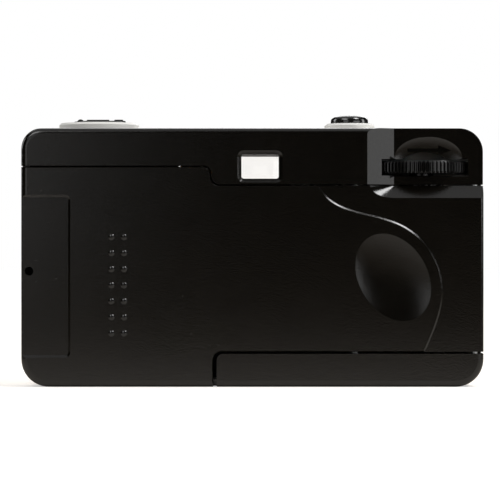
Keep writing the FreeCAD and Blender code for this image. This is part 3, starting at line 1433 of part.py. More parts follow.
def advance_wheel():
    lean, tip = 0.06, 0.2
    blank = toothed(
        SPOOL_X, WHEEL_Y, WHEEL_LOW, WHEEL_HIGH, WHEEL_R, WHEEL_R - WHEEL_TOOTH, WHEEL_TEETH, lean, tip
    )
    trim = turned([
        (0, WHEEL_LOW),
        (WHEEL_R - WHEEL_CHAMFER, WHEEL_LOW),
        (WHEEL_R, WHEEL_LOW + WHEEL_CHAMFER),
        (WHEEL_R, WHEEL_HIGH - WHEEL_CHAMFER),
        (WHEEL_R - WHEEL_CHAMFER, WHEEL_HIGH),
        (0, WHEEL_HIGH),
    ], SPOOL_X, WHEEL_Y, True)
    dish_floor, draft = WHEEL_HIGH - WHEEL_DISH, 0.6
    dish = turned([
        (WHEEL_HUB_R, dish_floor),
        (WHEEL_R - WHEEL_RIM - draft, dish_floor),
        (WHEEL_R - WHEEL_RIM, WHEEL_HIGH + THROUGH),
        (WHEEL_HUB_R, WHEEL_HIGH + THROUGH),
    ], SPOOL_X, WHEEL_Y, True)
    ratchet_lean = 0.2
    ratchet = toothed(
        SPOOL_X, WHEEL_Y, RATCHET_LOW, RATCHET_LOW + RATCHET_THICK,
        RATCHET_R, RATCHET_R - RATCHET_TOOTH, RATCHET_TEETH, ratchet_lean,
    )
    hub_grip = 3.0
    hub = post(SPOOL_X, WHEEL_Y, FILM_HIGH - hub_grip, WHEEL_LOW + 1, HUB_R)
    return fuse(cut(blank.common(trim), dish), ratchet, hub)


def takeup_spool():
    low, high = FILM_LOW + SPOOL_END_CLEAR, FILM_HIGH - SPOOL_END_CLEAR
    drum = post(SPOOL_X, WHEEL_Y, low, high, SPOOL_R)
    collars = [
        post(SPOOL_X, WHEEL_Y, low, low + SPOOL_COLLAR, SPOOL_COLLAR_R),
        post(SPOOL_X, WHEEL_Y, high - SPOOL_COLLAR, high, SPOOL_COLLAR_R),
    ]
    foot = post(SPOOL_X, WHEEL_Y, FILM_LOW - SHELL + 0.1, low, SPOOL_FOOT_R)

    def on_drum(shape, angle):
        shape.rotate(V(0, 0, 0), V(0, 0, 1), angle)
        shape.translate(V(SPOOL_X, WHEEL_Y, 0))
        return shape

    slot_half = 0.6
    slot_low, slot_high = FILM_Z - FILM_W / 2 + 4.5, FILM_Z + FILM_W / 2 - 4.5
    slots = [
        on_drum(
            block(-slot_half, slot_half, SPOOL_R - 1.6, SPOOL_R + THROUGH, slot_low, slot_high),
            90 * turn + 20,
        )
        for turn in range(4)
    ]
    tooth_low = FILM_Z - FILM_W / 2 + 3.0
    teeth = [
        on_drum(
            block(-0.5, 0.5, SPOOL_R - 0.3, SPOOL_R + 0.8, tooth_low, tooth_low + 1.2), 180 * turn + 65
        )
        for turn in range(2)
    ]
    hub_bore = post(SPOOL_X, WHEEL_Y, high - 12, high + THROUGH, HUB_R)
    lighter = post(SPOOL_X, WHEEL_Y, low + 1.5, high - 14, SPOOL_BORE_R)
    return fuse(cut(fuse(drum, *collars, foot), hub_bore, lighter, *slots), *teeth)


def sprocket_tooth():
    """One film tooth at the drum's edge along +X, narrower at its tip."""

    def section(x, half_y, half_z):
        signs = ((-1, -1), (1, -1), (1, 1), (-1, 1), (-1, -1))
        return Part.makePolygon([V(x, side * half_y, up * half_z) for side, up in signs])

    root = section(SPROCKET_R - 0.8, 0.9, SPROCKET_TOOTH_HALF)
    tip = section(SPROCKET_R + SPROCKET_TOOTH_HEIGHT, 0.45, 0.4)
    return Part.makeLoft([root, tip], True, True)


def film_sprocket():
    half = SPROCKET_DRUM / 2
    top = SPROCKET_Z + half
    drum = post(SPROCKET_X, SPROCKET_Y, SPROCKET_Z - half, top, SPROCKET_R - 0.15)
    waist = ring(SPROCKET_X, SPROCKET_Y, top - 1.0, top + THROUGH, SPROCKET_R - 1.2, 2 * SPROCKET_R)
    teeth = []
    for number in range(SPROCKET_TEETH):
        tooth = sprocket_tooth()
        tooth.rotate(V(0, 0, 0), V(0, 0, 1), 360 / SPROCKET_TEETH * (number + 0.5))
        tooth.translate(V(SPROCKET_X, SPROCKET_Y, SPROCKET_Z))
        teeth.append(tooth)
    return cut(fuse(cut(drum, waist), *teeth), sprocket_bore())


def sprocket_bore():
    """What the sprocket's shaft takes out of the pieces that sit on it."""
    return post(SPROCKET_X, SPROCKET_Y, 0, HEIGHT, SPROCKET_SHAFT_R)


def sprocket_shaft():
    low = RELEASE_TOP + RELEASE_TRAVEL + 0.3
    return post(SPROCKET_X, SPROCKET_Y, low, COUNTER_LOW_Z + 1.3, SPROCKET_SHAFT_R)


def shutter_cam():
    """The charging cam: a round disc with one flat notch, on the sprocket's shaft."""
    low = STRIKER_LOW - 0.1
    flat = 2.4
    cam = post(SPROCKET_X, SPROCKET_Y, low, low + CAM_THICK, CAM_R)
    notch = block(
        SPROCKET_X + flat, SPROCKET_X + 2 * CAM_R, SPROCKET_Y - 2 * CAM_R, SPROCKET_Y + 0.4,
        low - THROUGH, low + CAM_THICK + THROUGH,
    )
    return cut(cam, notch, sprocket_bore())


def counter_finger():
    low, high = COUNTER_LOW_Z + 0.1, COUNTER_LOW_Z + 0.1 + FINGER_THICK
    gap = math.hypot(COUNTER_X - SPROCKET_X, COUNTER_Y - SPROCKET_Y)
    tip = gap - COUNTER_R - COUNTER_FINGER_GAP
    half = 0.5
    hub = post(SPROCKET_X, SPROCKET_Y, low, high, FINGER_HUB_R)
    finger = block(SPROCKET_X - tip, SPROCKET_X, SPROCKET_Y - half, SPROCKET_Y + half, low, high)
    finger = finger.common(post(SPROCKET_X, SPROCKET_Y, low, high, tip))
    return cut(fuse(hub, finger), sprocket_bore())


def counter_disc():
    z0, z1 = COUNTER_LOW_Z, COUNTER_LOW_Z + COUNTER_THICK
    hub_r = 2.2
    disc = toothed(COUNTER_X, COUNTER_Y, z0, z1, COUNTER_R, COUNTER_R - COUNTER_TOOTH, COUNTER_TEETH)
    hub = post(COUNTER_X, COUNTER_Y, z0 - 0.6, z1 + 0.8, hub_r)
    return cut(fuse(disc, hub), post(COUNTER_X, COUNTER_Y, 0, HEIGHT, COUNTER_POST_R + RUN_CLEAR))


def counter_clip():
    """The washer that keeps the counter disc on its post."""
    low = COUNTER_LOW_Z - COUNTER_POST_LONG
    thick, outer = 0.25, 2.4
    return ring(COUNTER_X, COUNTER_Y, low, low + thick, COUNTER_POST_R, outer)


def counter_window():
    seat_top = HEIGHT - COUNTER_WINDOW_FACE - 0.05
    seat_r = COUNTER_WINDOW_R + COUNTER_WINDOW_LIP
    face_r = COUNTER_WINDOW_R - 0.05
    return turned([
        (0, COVER_IN_Z + 0.2),
        (seat_r, COVER_IN_Z + 0.2),
        (seat_r, seat_top),
        (face_r, seat_top),
        (face_r, HEIGHT - 0.1),
        (face_r - 0.45, HEIGHT + 0.12),
        (0, HEIGHT + 0.25),
    ], COUNTER_WINDOW_X, COUNTER_Y, True)


def anti_reverse_pawl():
    px, py = PAWL_PIVOT
    end_clear = 0.05
    z0, z1 = RATCHET_LOW + end_clear, RATCHET_LOW + RATCHET_THICK - end_clear
    gap = math.hypot(SPOOL_X - px, WHEEL_Y - py)
    tip_r = RATCHET_R + PAWL_CLEAR
    nose_half, tail_half, tail_long, tail_angle, hub_r = 0.55, 0.5, 4.0, -8, 1.8
    nose = block(0, gap - tip_r, -nose_half, nose_half, z0, z1)
    nose.rotate(V(0, 0, 0), V(0, 0, 1), math.degrees(math.atan2(WHEEL_Y - py, SPOOL_X - px)))
    tail = block(-tail_long, 0, -tail_half, tail_half, z0, z1)
    tail.rotate(V(0, 0, 0), V(0, 0, 1), tail_angle)
    pawl = fuse(post(0, 0, z0, z1, hub_r), nose, tail)
    pawl.translate(V(px, py, 0))
    bore = post(px, py, 0, HEIGHT, PIVOT_R + RUN_CLEAR)
    return cut(pawl, bore, post(SPOOL_X, WHEEL_Y, z0 - THROUGH, z1 + THROUGH, tip_r))


def striker_lever():
    """The lever that the cam charges; its leg pushes the shutter blade's tail."""
    sx, sy = STRIKER_PIVOT
    z0, z1 = STRIKER_LOW, STRIKER_HIGH
    arm_half, cam_arm_half, hub_r = 0.9, 0.8, 2.0
    leg = post(0, STRIKER_REACH, FILM_Z + STRIKER_LEG_ABOVE_LENS, z1, STRIKER_LEG_R)
    front = fuse(block(-arm_half, arm_half, 0, STRIKER_REACH, z0, z1), leg)
    front.rotate(V(0, 0, 0), V(0, 0, 1), -STRIKER_SWING / 2)
    dx, dy = SPROCKET_X - sx, SPROCKET_Y - sy
    cam_arm = block(0, math.hypot(dx, dy) - CAM_R, -cam_arm_half, cam_arm_half, z0, z1)
    cam_arm.rotate(V(0, 0, 0), V(0, 0, 1), math.degrees(math.atan2(dy, dx)))
    lever = fuse(post(0, 0, z0, z1, hub_r), front, cam_arm)
    lever.translate(V(sx, sy, 0))
    bore = post(sx, sy, 0, HEIGHT, PIVOT_R + RUN_CLEAR)
    cam_room = post(SPROCKET_X, SPROCKET_Y, z0 - THROUGH, z1 + THROUGH, CAM_R + STRIKER_CAM_CLEAR)
    return cut(lever, bore, cam_room)


def release_rocker():
    """The rocker under the shutter button, on its own shaft, with a finger over the striker's arm."""
    half = ROCKER_HALF
    x0, x1 = BUTTON_X - half, BUTTON_X + half
    top = STEM_LOW_Z - 0.2
    web_half, pad_half, pad_thick = 0.8, 1.2, 1.1
    finger_half, finger_wide = 0.6, 1.0
    end = BUTTON_X - ROCKER_FINGER_REACH
    shaft = rod_x(ROCKER_Y, ROCKER_Z, end, x1 + ROCKER_SIDE_CLEAR + EAR_THICK, ROCKER_PIN_R)
    hub = rod_x(ROCKER_Y, ROCKER_Z, x0, x1, 1.2)
    web = block(x0, x1, ROCKER_Y - web_half, ROCKER_Y + web_half, ROCKER_Z, top)
    arm = block(x0, x1, BUTTON_Y - pad_half, ROCKER_Y + web_half, top - pad_thick, top)
    finger = block(
        end, end + finger_wide, ROCKER_Y - finger_half, ROCKER_Y + finger_half,
        STRIKER_HIGH + 0.35, ROCKER_Z + finger_half,
    )
    return fuse(shaft, hub, web, arm, finger)


def shutter_button():
    low, top = BUTTON_LOW_Z + 0.3, TOP_RING_Z + BUTTON_PROUD
    crown = Part.makeSphere(BUTTON_CROWN_R, V(BUTTON_X, BUTTON_Y, top - BUTTON_CROWN_R))
    cap = post(BUTTON_X, BUTTON_Y, low, top + THROUGH, BUTTON_R).common(crown)
    rim = [e for e in cap.Edges if e.BoundBox.ZMin > top - 1 and e.BoundBox.XLength > BUTTON_R]
    cap = cap.makeFillet(BUTTON_EDGE_R, rim)
    hollow = post(BUTTON_X, BUTTON_Y, low - THROUGH, low + BUTTON_ROOF, BUTTON_R - BUTTON_WALL)
    stem = post(BUTTON_X, BUTTON_Y, STEM_LOW_Z + STEM_R, BUTTON_LOW_Z + 2, STEM_R)
    tip = Part.makeSphere(STEM_R, V(BUTTON_X, BUTTON_Y, STEM_LOW_Z + STEM_R))
    return fuse(cut(cap, hollow), stem, tip)


def button_spring():
    return push_spring(BUTTON_X, BUTTON_Y, BUTTON_SPRING_LOW + SPRING_GAP, BUTTON_SPRING_HIGH)


def button_guide():
    """The plate under the top that guides the stem and carries the button's spring."""
    thick, plate_r, lug_half = 0.7, 3.6, 1.1
    z1 = BUTTON_SPRING_LOW
    z0 = z1 - thick
    plate = post(BUTTON_X, BUTTON_Y, z0, z1, plate_r)
    x0 = BUTTON_X - BUTTON_R - BUTTON_CLEAR - 1.0
    y0, y1 = BUTTON_Y - lug_half, BUTTON_Y + lug_half
    foot = block(x0, BUTTON_X - plate_r + 0.6, y0, y1, z0, z1)
    hanger = block(x0, x0 + 0.85, y0, y1, z0, COVER_IN_Z - 0.02)
    return cut(fuse(plate, foot, hanger), post(BUTTON_X, BUTTON_Y, z0 - 1, z1 + 1, STEM_R + 0.15))


def rewind_shaft():
    x, y, roof = CARTRIDGE_X, CARTRIDGE_Y, CHAMBER_HIGH_Z
    low = roof - FORK_REACH
    shaft = post(x, y, roof - 0.8, CRANK_FLOOR_Z + CRANK_FLOOR_GAP, REWIND_SHAFT_R)
    collar = post(x, y, roof - 1.0, roof - 0.2, 3.0)
    prong = block(x - 1.7, x + 1.7, y - 0.6, y + 0.6, low, roof - 0.9)
    core = post(x, y, low + 0.8, roof - 0.9, 1.1)
    return fuse(shaft, collar, prong, core)


def crank_hub():
    low, top = CRANK_FLOOR_Z + CRANK_FLOOR_GAP, CRANK_TOP_Z
    chamfer = 0.4
    hub = turned([
        (0, low),
        (CRANK_HUB_R, low),
        (CRANK_HUB_R, top - chamfer),
        (CRANK_HUB_R - chamfer, top),
        (0, top),
    ], CARTRIDGE_X, CARTRIDGE_Y, True)
    hinge_x = CARTRIDGE_X - CRANK_HINGE_OFF
    room_half = CRANK_ARM_HALF + CRANK_ARM_CLEAR
    y0, y1 = CARTRIDGE_Y - room_half, CARTRIDGE_Y + room_half
    arm_room = block(
        hinge_x - 1.3, CARTRIDGE_X + FAR, y0, y1, CRANK_HINGE_Z - CRANK_ARM_THICK / 2 - 0.15, top + THROUGH
    )
    room_r = CRANK_KNOB_R + CRANK_KNOB_CLEAR
    knob_room = post(CARTRIDGE_X + CRANK_REACH, CARTRIDGE_Y, low - THROUGH, top + THROUGH, room_r)
    swing = rod_y(hinge_x, CRANK_HINGE_Z, y0, y1, CRANK_HINGE_R + CRANK_ARM_CLEAR)
    pin_hole = rod_y(hinge_x, CRANK_HINGE_Z, y0 - 1.3, y1 + 1.3, CRANK_PIN_R + 0.05)
    return cut(hub, arm_room, knob_room, swing, pin_hole)


def crank_arm():
    hinge_x, knob_x = CARTRIDGE_X - CRANK_HINGE_OFF, CARTRIDGE_X + CRANK_REACH
    y, z = CARTRIDGE_Y, CRANK_HINGE_Z
    half, thick = CRANK_ARM_HALF, CRANK_ARM_THICK / 2
    rib_half, rib_proud = 0.5, 0.3
    bar = block(hinge_x, knob_x, y - half, y + half, z - thick, z + thick)
    end = post(knob_x, y, z - thick, z + thick, half)
    hub = rod_y(hinge_x, z, y - half, y + half, CRANK_HINGE_R)
    rib = block(hinge_x + 1.5, knob_x - 2.4, y - rib_half, y + rib_half, z, z + thick + rib_proud)
    return cut(
        fuse(bar, end, hub, rib),
        rod_y(hinge_x, z, y - 2 * half, y + 2 * half, CRANK_PIN_R + RUN_CLEAR),
        post(knob_x, y, z - 2 * thick, z + 2 * thick, CRANK_STUD_R + RUN_CLEAR),
    )


def crank_pin():
    reach = CRANK_ARM_HALF + 1.4
    return rod_y(
        CARTRIDGE_X - CRANK_HINGE_OFF, CRANK_HINGE_Z, CARTRIDGE_Y - reach, CARTRIDGE_Y + reach, CRANK_PIN_R
    )


def crank_knob():
    """The turning knob: a grip under the arm, a stud through it and a head over it."""
    x = CARTRIDGE_X + CRANK_REACH
    under, over = CRANK_HINGE_Z - CRANK_ARM_THICK / 2, CRANK_HINGE_Z + CRANK_ARM_THICK / 2
    grip = post(x, CARTRIDGE_Y, CRANK_FLOOR_Z + 0.4, under - 0.1, CRANK_KNOB_R)
    stud_shape = post(x, CARTRIDGE_Y, under - 0.2, over + 0.12, CRANK_STUD_R)
    head = post(x, CARTRIDGE_Y, over + 0.06, over + 0.3, CRANK_STUD_R + 0.4)
    return fuse(grip, stud_shape, head)


def finder_tube():
    y0, y1 = Y_FRAME, Y_COVER_IN
    corner_r = 0.6

    def frame(width, height, y):
        half_w, half_h = width / 2, height / 2
        return rounded_wire(
            OPTICAL_X - half_w, OPTICAL_X + half_w, FINDER_Z - half_h, FINDER_Z + half_h, corner_r, y
        )

    grow, wall = 2 * FINDER_TUBE_CLEAR, 2 * FINDER_TUBE_WALL
    w0, h0 = FINDER_W + grow, FINDER_H + grow
    w1, h1 = FINDER_FRONT_W, FINDER_FRONT_H
    outside = Part.makeLoft([frame(w0 + wall, h0 + wall, y0), frame(w1 + wall, h1 + wall, y1)], True, True)
    inside = Part.makeLoft([frame(w0, h0, y0), frame(w1, h1, y1)], True, True)
    foot_half, foot_thick = 3.0, 1.0
    foot_top = FINDER_Z - FINDER_H / 2
    feet = [
        block(OPTICAL_X - foot_half, OPTICAL_X + foot_half, y, y + foot_thick, DECK_Z, foot_top)
        for y in (Y_REAR + 8.9, Y_FACE - 10.1)
    ]
    return cut(fuse(outside, *feet), inside)


def finder_front_lens():
    y0 = Y_COVER_IN
    hollow_r, hollow_sink = 45.0, 0.5
    pane = centred_prism(
        OPTICAL_X, FINDER_Z, FINDER_FRONT_W / 2 + 0.9, FINDER_FRONT_H / 2 + 0.4, 1.1,
        y0, y0 + FINDER_LENS_THICK,
    )
    return cut(pane, Part.makeSphere(hollow_r, V(OPTICAL_X, y0 - hollow_r + hollow_sink, FINDER_Z)))


def flash_reflector():
    end_clear, edge_clear = 0.3, 0.2
    x0, x1 = FLASH_X - FLASH_W / 2 + end_clear, FLASH_X + FLASH_W / 2 - end_clear
    y1 = Y_COVER_IN
    half, wall = FLASH_H / 2 - edge_clear, REFLECTOR_WALL

    def trough(half_height, deep, x_start, x_end):
        top, bottom = V(x_start, y1, FLASH_Z + half_height), V(x_start, y1, FLASH_Z - half_height)
        curve = Part.Arc(top, V(x_start, y1 - deep, FLASH_Z), bottom).toShape()
        mouth = Part.LineSegment(bottom, top).toShape()
        return Part.Face(Part.Wire([curve, mouth])).extrude(V(x_end - x_start, 0, 0))

    outer = trough(half, REFLECTOR_DEEP, x0, x1)
    inner = trough(half - wall, REFLECTOR_DEEP - wall, x0 + wall, x1 - wall)
    ends = rod_x(FLASH_TUBE_Y, FLASH_Z, x0 - THROUGH, x1 + THROUGH, FLASH_TUBE_R)
    return cut(outer, inner, ends)


def flash_tube():
    half = FLASH_W / 2 + 0.6
    cap_r, cap_long = 0.8, 1.0
    x0, x1 = FLASH_X - half, FLASH_X + half
    y, z = FLASH_TUBE_Y, FLASH_Z
    return fuse(
        rod_x(y, z, x0 + 0.8, x1 - 0.8, FLASH_TUBE_R),
        rod_x(y, z, x0, x0 + cap_long, cap_r),
        rod_x(y, z, x1 - cap_long, x1, cap_r),
    )


def flash_window():
    y0, y1 = Y_COVER_IN, Y_FACE + 0.35
    clear, corner_r, side_margin = 0.08, 0.95, 1.5
    groove_r, groove_out = 1.6, 1.25
    half_w, half_h = FLASH_W / 2 - clear, FLASH_H / 2 - clear
    pane = centred_prism(FLASH_X, FLASH_Z, half_w, half_h, corner_r, y0, y1)
    step = (FLASH_W - 2 * side_margin) / WINDOW_RIBS
    first = FLASH_X - FLASH_W / 2 + side_margin + step / 2
    low, high = FLASH_Z - FLASH_H / 2, FLASH_Z + FLASH_H / 2
    grooves = [post(first + rib * step, y0 - groove_out, low, high, groove_r) for rib in range(WINDOW_RIBS)]
    return cut(pane, *grooves)


def board_post_places():
    """Where the front cover's two posts carry the flash board: x and z."""
    return [(BOARD_X + across, BOARD_Z + up) for across, up in BOARD_POSTS]


def flash_board():
    """The circuit board with its transformer and chip, both on the rear side."""
    board = block(BOARD_X, BOARD_X + BOARD_W, Y_BOARD, Y_BOARD + BOARD_THICK, BOARD_Z, BOARD_Z + BOARD_H)
    holes = [
        rod_y(x, z, Y_BOARD - THROUGH, Y_BOARD + BOARD_THICK + THROUGH, BOARD_HOLE_R)
        for x, z in board_post_places()
    ]
    transformer = block(BOARD_X + 2.8, BOARD_X + 6.8, Y_BOARD - 4.2, Y_BOARD, BOARD_Z + 6.0, BOARD_Z + 13.0)
    chip = block(BOARD_X + 12.5, BOARD_X + 17.0, Y_BOARD - 1.4, Y_BOARD, BOARD_Z + 1.5, BOARD_Z + 4.5)
    return fuse(cut(board, *holes), transformer, chip)


def board_posts():
    """On each place a post that the board rests on, and a peg through its hole."""
    shapes = []
    for x, z in board_post_places():
        shapes.append(rod_y(x, z, Y_BOARD + BOARD_THICK, Y_COVER_IN + 0.2, BOARD_POST_R))
        shapes.append(rod_y(x, z, Y_BOARD - 0.6, Y_COVER_IN, BOARD_PEG_R))
    return shapes


def flash_capacitor():
    across, up = CAPACITOR_PLACE
    low = BOARD_Z + up
    high = low + CAPACITOR_LONG
    edge, crimp = 0.4, 0.35
    return turned([
        (0, low),
        (CAPACITOR_R - edge, low),
        (CAPACITOR_R, low + edge),
        (CAPACITOR_R, low + 2.4),
        (CAPACITOR_R - crimp, low + 2.9),
        (CAPACITOR_R, low + 3.4),
        (CAPACITOR_R, high - edge),
        (CAPACITOR_R - edge, high),
        (0, high),
    ], BOARD_X + across, Y_BOARD - CAPACITOR_R, True)


def flash_switch():
    plate_half, plate_thick, ridge_half, ridge_step = 2.6, 0.75, 0.2, 1.2
    y0 = Y_COVER_IN - plate_thick - 0.1
    x, z = SWITCH_X, SWITCH_Z
    plate = block(x - plate_half, x + plate_half, y0, y0 + plate_thick, z - plate_half, z + plate_half)
    knob = centred_prism(x, z, SWITCH_HALF_W, SWITCH_HALF_H, 0.6, y0, Y_FACE + 0.9)
    grooves = [
        block(x - 2, x + 2, Y_FACE + 0.6, Y_FACE + 2, at - ridge_half, at + ridge_half)
        for at in (z - ridge_step, z, z + ridge_step)
    ]
    return cut(fuse(plate, knob), *grooves)


def ready_lamp():
    """The flash-ready lamp: a small light pipe in the top."""
    low, edge = HEIGHT - LAMP_LONG, 0.3
    return turned([
        (0, low),
        (LAMP_R, low),
        (LAMP_R, HEIGHT),
        (LAMP_R - edge, HEIGHT + 0.25),
        (0, HEIGHT + 0.35),
    ], LAMP_X, LAMP_Y, True)


def battery_tray():
    y0, y1 = lid_y_range()
    wall = BAY_WALL
    outer = block(BAY_X0 - wall, BAY_X1 + wall, y0 - wall, y1 + wall, WALL, BAY_TOP + wall)
    return cut(outer, block(BAY_X0, BAY_X1, y0, y1, 0, BAY_TOP))


def contact_plate(x0):
    half = CONTACT_HALF
    return block(x0, x0 + CONTACT_THICK, CELL_Y - half, CELL_Y + half, CELL_Z - half, CELL_Z + half)


def battery_spring():
    """The coiled negative contact, with its foot plate."""
    coil_r, wire, turns, end_gap = 2.6, 0.22, 2, 0.4
    spring = coil(0, 0, 0, CONTACT_ROOM - end_gap, coil_r, wire, turns)
    spring.rotate(V(0, 0, 0), V(0, 1, 0), 90)
    spring.translate(V(BAY_X0 + CONTACT_THICK - 0.02, CELL_Y, CELL_Z))
    return fuse(contact_plate(BAY_X0), spring)


def battery_plate():
    """The flat positive contact with its raised button."""
    x0 = BAY_X1 - CONTACT_THICK
    nub_r, nub_long = 2.0, 0.9
    return fuse(contact_plate(x0), rod_x(CELL_Y, CELL_Z, x0 - nub_long, x0, nub_r))


def sync_contact():
    """The two-leaf switch that fires the flash when the blade opens, on the light tunnel's flange."""
    x = OPTICAL_X - FLANGE_HALF
    y1 = Y_FLANGE + FLANGE_THICK
    leaf_half = 0.1
    foot = block(x - 2.2, x, Y_FLANGE - 1.0, y1, FILM_Z + 1.4, FILM_Z + 5.6)
    leaves = [
        block(at - leaf_half, at + leaf_half, y1 - 0.5, y1 + 2.4, FILM_Z + 2, FILM_Z + 5)
        for at in (x - 1.6, x - 0.9)
    ]
    return fuse(foot, *leaves)


def release_button():
    """The small plunger under the camera that frees the film for rewinding."""
    pad_half = 2.2
    foot = post(SPROCKET_X, RELEASE_Y, 0.15, RELEASE_PAD + BITE, RELEASE_R)
    pad = block(
        SPROCKET_X - pad_half, SPROCKET_X + pad_half, RELEASE_Y - pad_half, SPROCKET_Y + 1.2,
        RELEASE_PAD, RELEASE_TOP,
    )
    return fuse(foot, pad)


def release_spring():
    end_gap = 0.05
    return push_spring(SPROCKET_X, SPROCKET_Y, RELEASE_TOP + end_gap, FILM_LOW - SHELL - end_gap)


def housing_screws():
    """Four equal cross-head screws."""
    head_low, bevel, head_top = 0.1, 0.3, 0.1 + SCREW_HEAD
    slot_half, slot_reach, slot_deep = 0.2, 0.95, 0.55
    screws = []
    for x, y in screw_places():
        head = turned([
            (0, head_low),
            (SCREW_HEAD_R - 0.35, head_low),
            (SCREW_HEAD_R, head_low + bevel),
            (SCREW_HEAD_R, head_top),
            (0, head_top),
        ], x, y, True)
        shank = post(x, y, SCREW_HEAD, WALL + SCREW_LONG - 0.3, SCREW_R - 0.02)
        across = block(x - slot_reach, x + slot_reach, y - slot_half, y + slot_half, 0, slot_deep)
        along = block(x - slot_half, x + slot_half, y - slot_reach, y + slot_reach, 0, slot_deep)
        screws.append(cut(fuse(head, shank), across, along))
    return Part.makeCompound(screws)


def hinge_pin():
    return post(HINGE_X, HINGE_Y, HINGE_PIN_LOW_Z + 0.05, WHEEL_LOW - 0.4, HINGE_PIN_R - HINGE_PIN_FIT)


def latch_slider():
    x0, x1 = LATCH_X, LATCH_X + LATCH_THICK
    y = LATCH_Y
    half, knob_half = LATCH_WIDE / 2, LATCH_WIDE / 2 - 0.25
    groove_step, groove_half, groove_deep = 1.1, 0.22, 0.45
    bar = block(x0, x1, y - half, y + half, LATCH_Z - LATCH_HALF, LATCH_Z + LATCH_HALF)
    knob = block(
        -HALF + 0.05, x0 + 0.2, y - knob_half, y + knob_half,
        LATCH_Z - LATCH_KNOB_HALF, LATCH_Z + LATCH_KNOB_HALF,
    )
    grooves = []
    for number in range(-2, 3):
        z = LATCH_Z + number * groove_step
        grooves.append(block(
            -HALF - THROUGH, -HALF + groove_deep, y - LATCH_WIDE, y + LATCH_WIDE,
            z - groove_half, z + groove_half,
        ))
    over_hook = 0.2
    catches = [
        block(x0, x1 + 0.2, y - 0.2, y + 0.9, z + HOOK_HIGH + over_hook, z + HOOK_HIGH + over_hook + 1.2)
        for z in latch_hook_places()
    ]
    return fuse(cut(fuse(bar, knob), *grooves), *catches)


def latch_spring():
    end_gap, turns = 0.05, 6
    top = LATCH_Z - LATCH_HALF
    x = -HALF + WALL + 1.0
    return coil(
        x, LATCH_Y, top - LATCH_SPRING + end_gap, top - end_gap, LATCH_SPRING_R, LATCH_SPRING_WIRE, turns
    )


def latch_keeper():
    """The small bracket that the latch's spring stands on."""
    x0 = -HALF + WALL
    wide, half, thick = 2.0, 1.2, 1.1
    top = LATCH_Z - LATCH_HALF - LATCH_SPRING
    return block(x0, x0 + wide, LATCH_Y - half, LATCH_Y + half, top - thick, top)


def pressure_plate():
    y1 = Y_FILM - PRESS_GAP
    y0 = y1 - PRESS_THICK
    half_h = GATE_H / 2 + PRESS_OVER
    x0, x1 = OPTICAL_X - GATE_W / 2 - PRESS_LEFT, OPTICAL_X + GATE_W / 2 + PRESS_RIGHT
    corner_r, lip_w, lip_in, lip_from_end = 1.5, 0.6, 0.6, 2.5
    plate = rounded_prism(x0, x1, FILM_Z - half_h, FILM_Z + half_h, corner_r, y0, y1)
    holes = [
        rod_y(OPTICAL_X + side * GUIDE_OFF, FILM_Z, y0 - THROUGH, y1 + THROUGH, GUIDE_R + GUIDE_CLEAR)
        for side in (-1, 1)
    ]
    lips = [
        block(x0 + lip_from_end, x1 - lip_from_end, y0 - 0.15, y1 - 0.3, z, z + lip_w)
        for z in (FILM_Z - half_h + lip_in, FILM_Z + half_h - lip_in - lip_w)
    ]
    return cut(fuse(plate, *lips), *holes)


def pressure_spring():
    """A bowed leaf between the door and the pressure plate."""
    bow, thick, half, wide, below = 0.3, 0.15, 13.0, 6.0, 9.0
    x0, x1 = OPTICAL_X - half, OPTICAL_X + half
    z = FILM_Z - below

    def bowed(y):
        return Part.Arc(V(x0, y, z), V(OPTICAL_X, y + bow, z), V(x1, y, z)).toShape()

    def end(x):
        return Part.LineSegment(V(x, Y_PLATE, z), V(x, Y_PLATE + thick, z)).toShape()

    outline = Part.Wire([bowed(Y_PLATE), end(x1), bowed(Y_PLATE + thick), end(x0)])
    return Part.Face(outline).extrude(V(0, 0, wide))


def cartridge_spring():
    """A flat leaf on the door that steadies the film cartridge."""
    thick, slot = 0.18, 0.8
    left, right = CARTRIDGE_X - 5.5, CARTRIDGE_X + 8.5
    low, high = FILM_Z - 5.2, FILM_Z + 3.8
    leaf = block(left, right, Y_PLATE, Y_PLATE + thick, low, high)
    slots = [
        block(left + 2.5, right - 2.0, Y_PLATE - THROUGH, Y_PLATE + THROUGH, z, z + slot)
        for z in (low + 2.4, high - 3.2)
    ]
    return cut(leaf, *slots)


def door_seals():
    """Foam strips that keep light out at the door's free edge and hinge edge."""
    wide, free_thick, hinge_thick, gap = 1.0, 1.4, 1.2, 0.1
    y0 = Y_PLATE
    left = -HALF + DOOR_RIM
    right = HINGE_X - 2.0
    low, high = STRIP_TOP_Z + 0.35, SEAM_LEFT_Z - 7.2
    insert_half = EYELET_INSERT_HALF + gap
    return Part.makeCompound([
        block(left, left + wide, y0, y0 + free_thick, low, EYELET_Z - insert_half),
        block(left, left + wide, y0, y0 + free_thick, EYELET_Z + insert_half, high),
        block(right, right + wide, y0, y0 + hinge_thick, low + 2.0, SEAM_RIGHT_Z - 4.6),
    ])


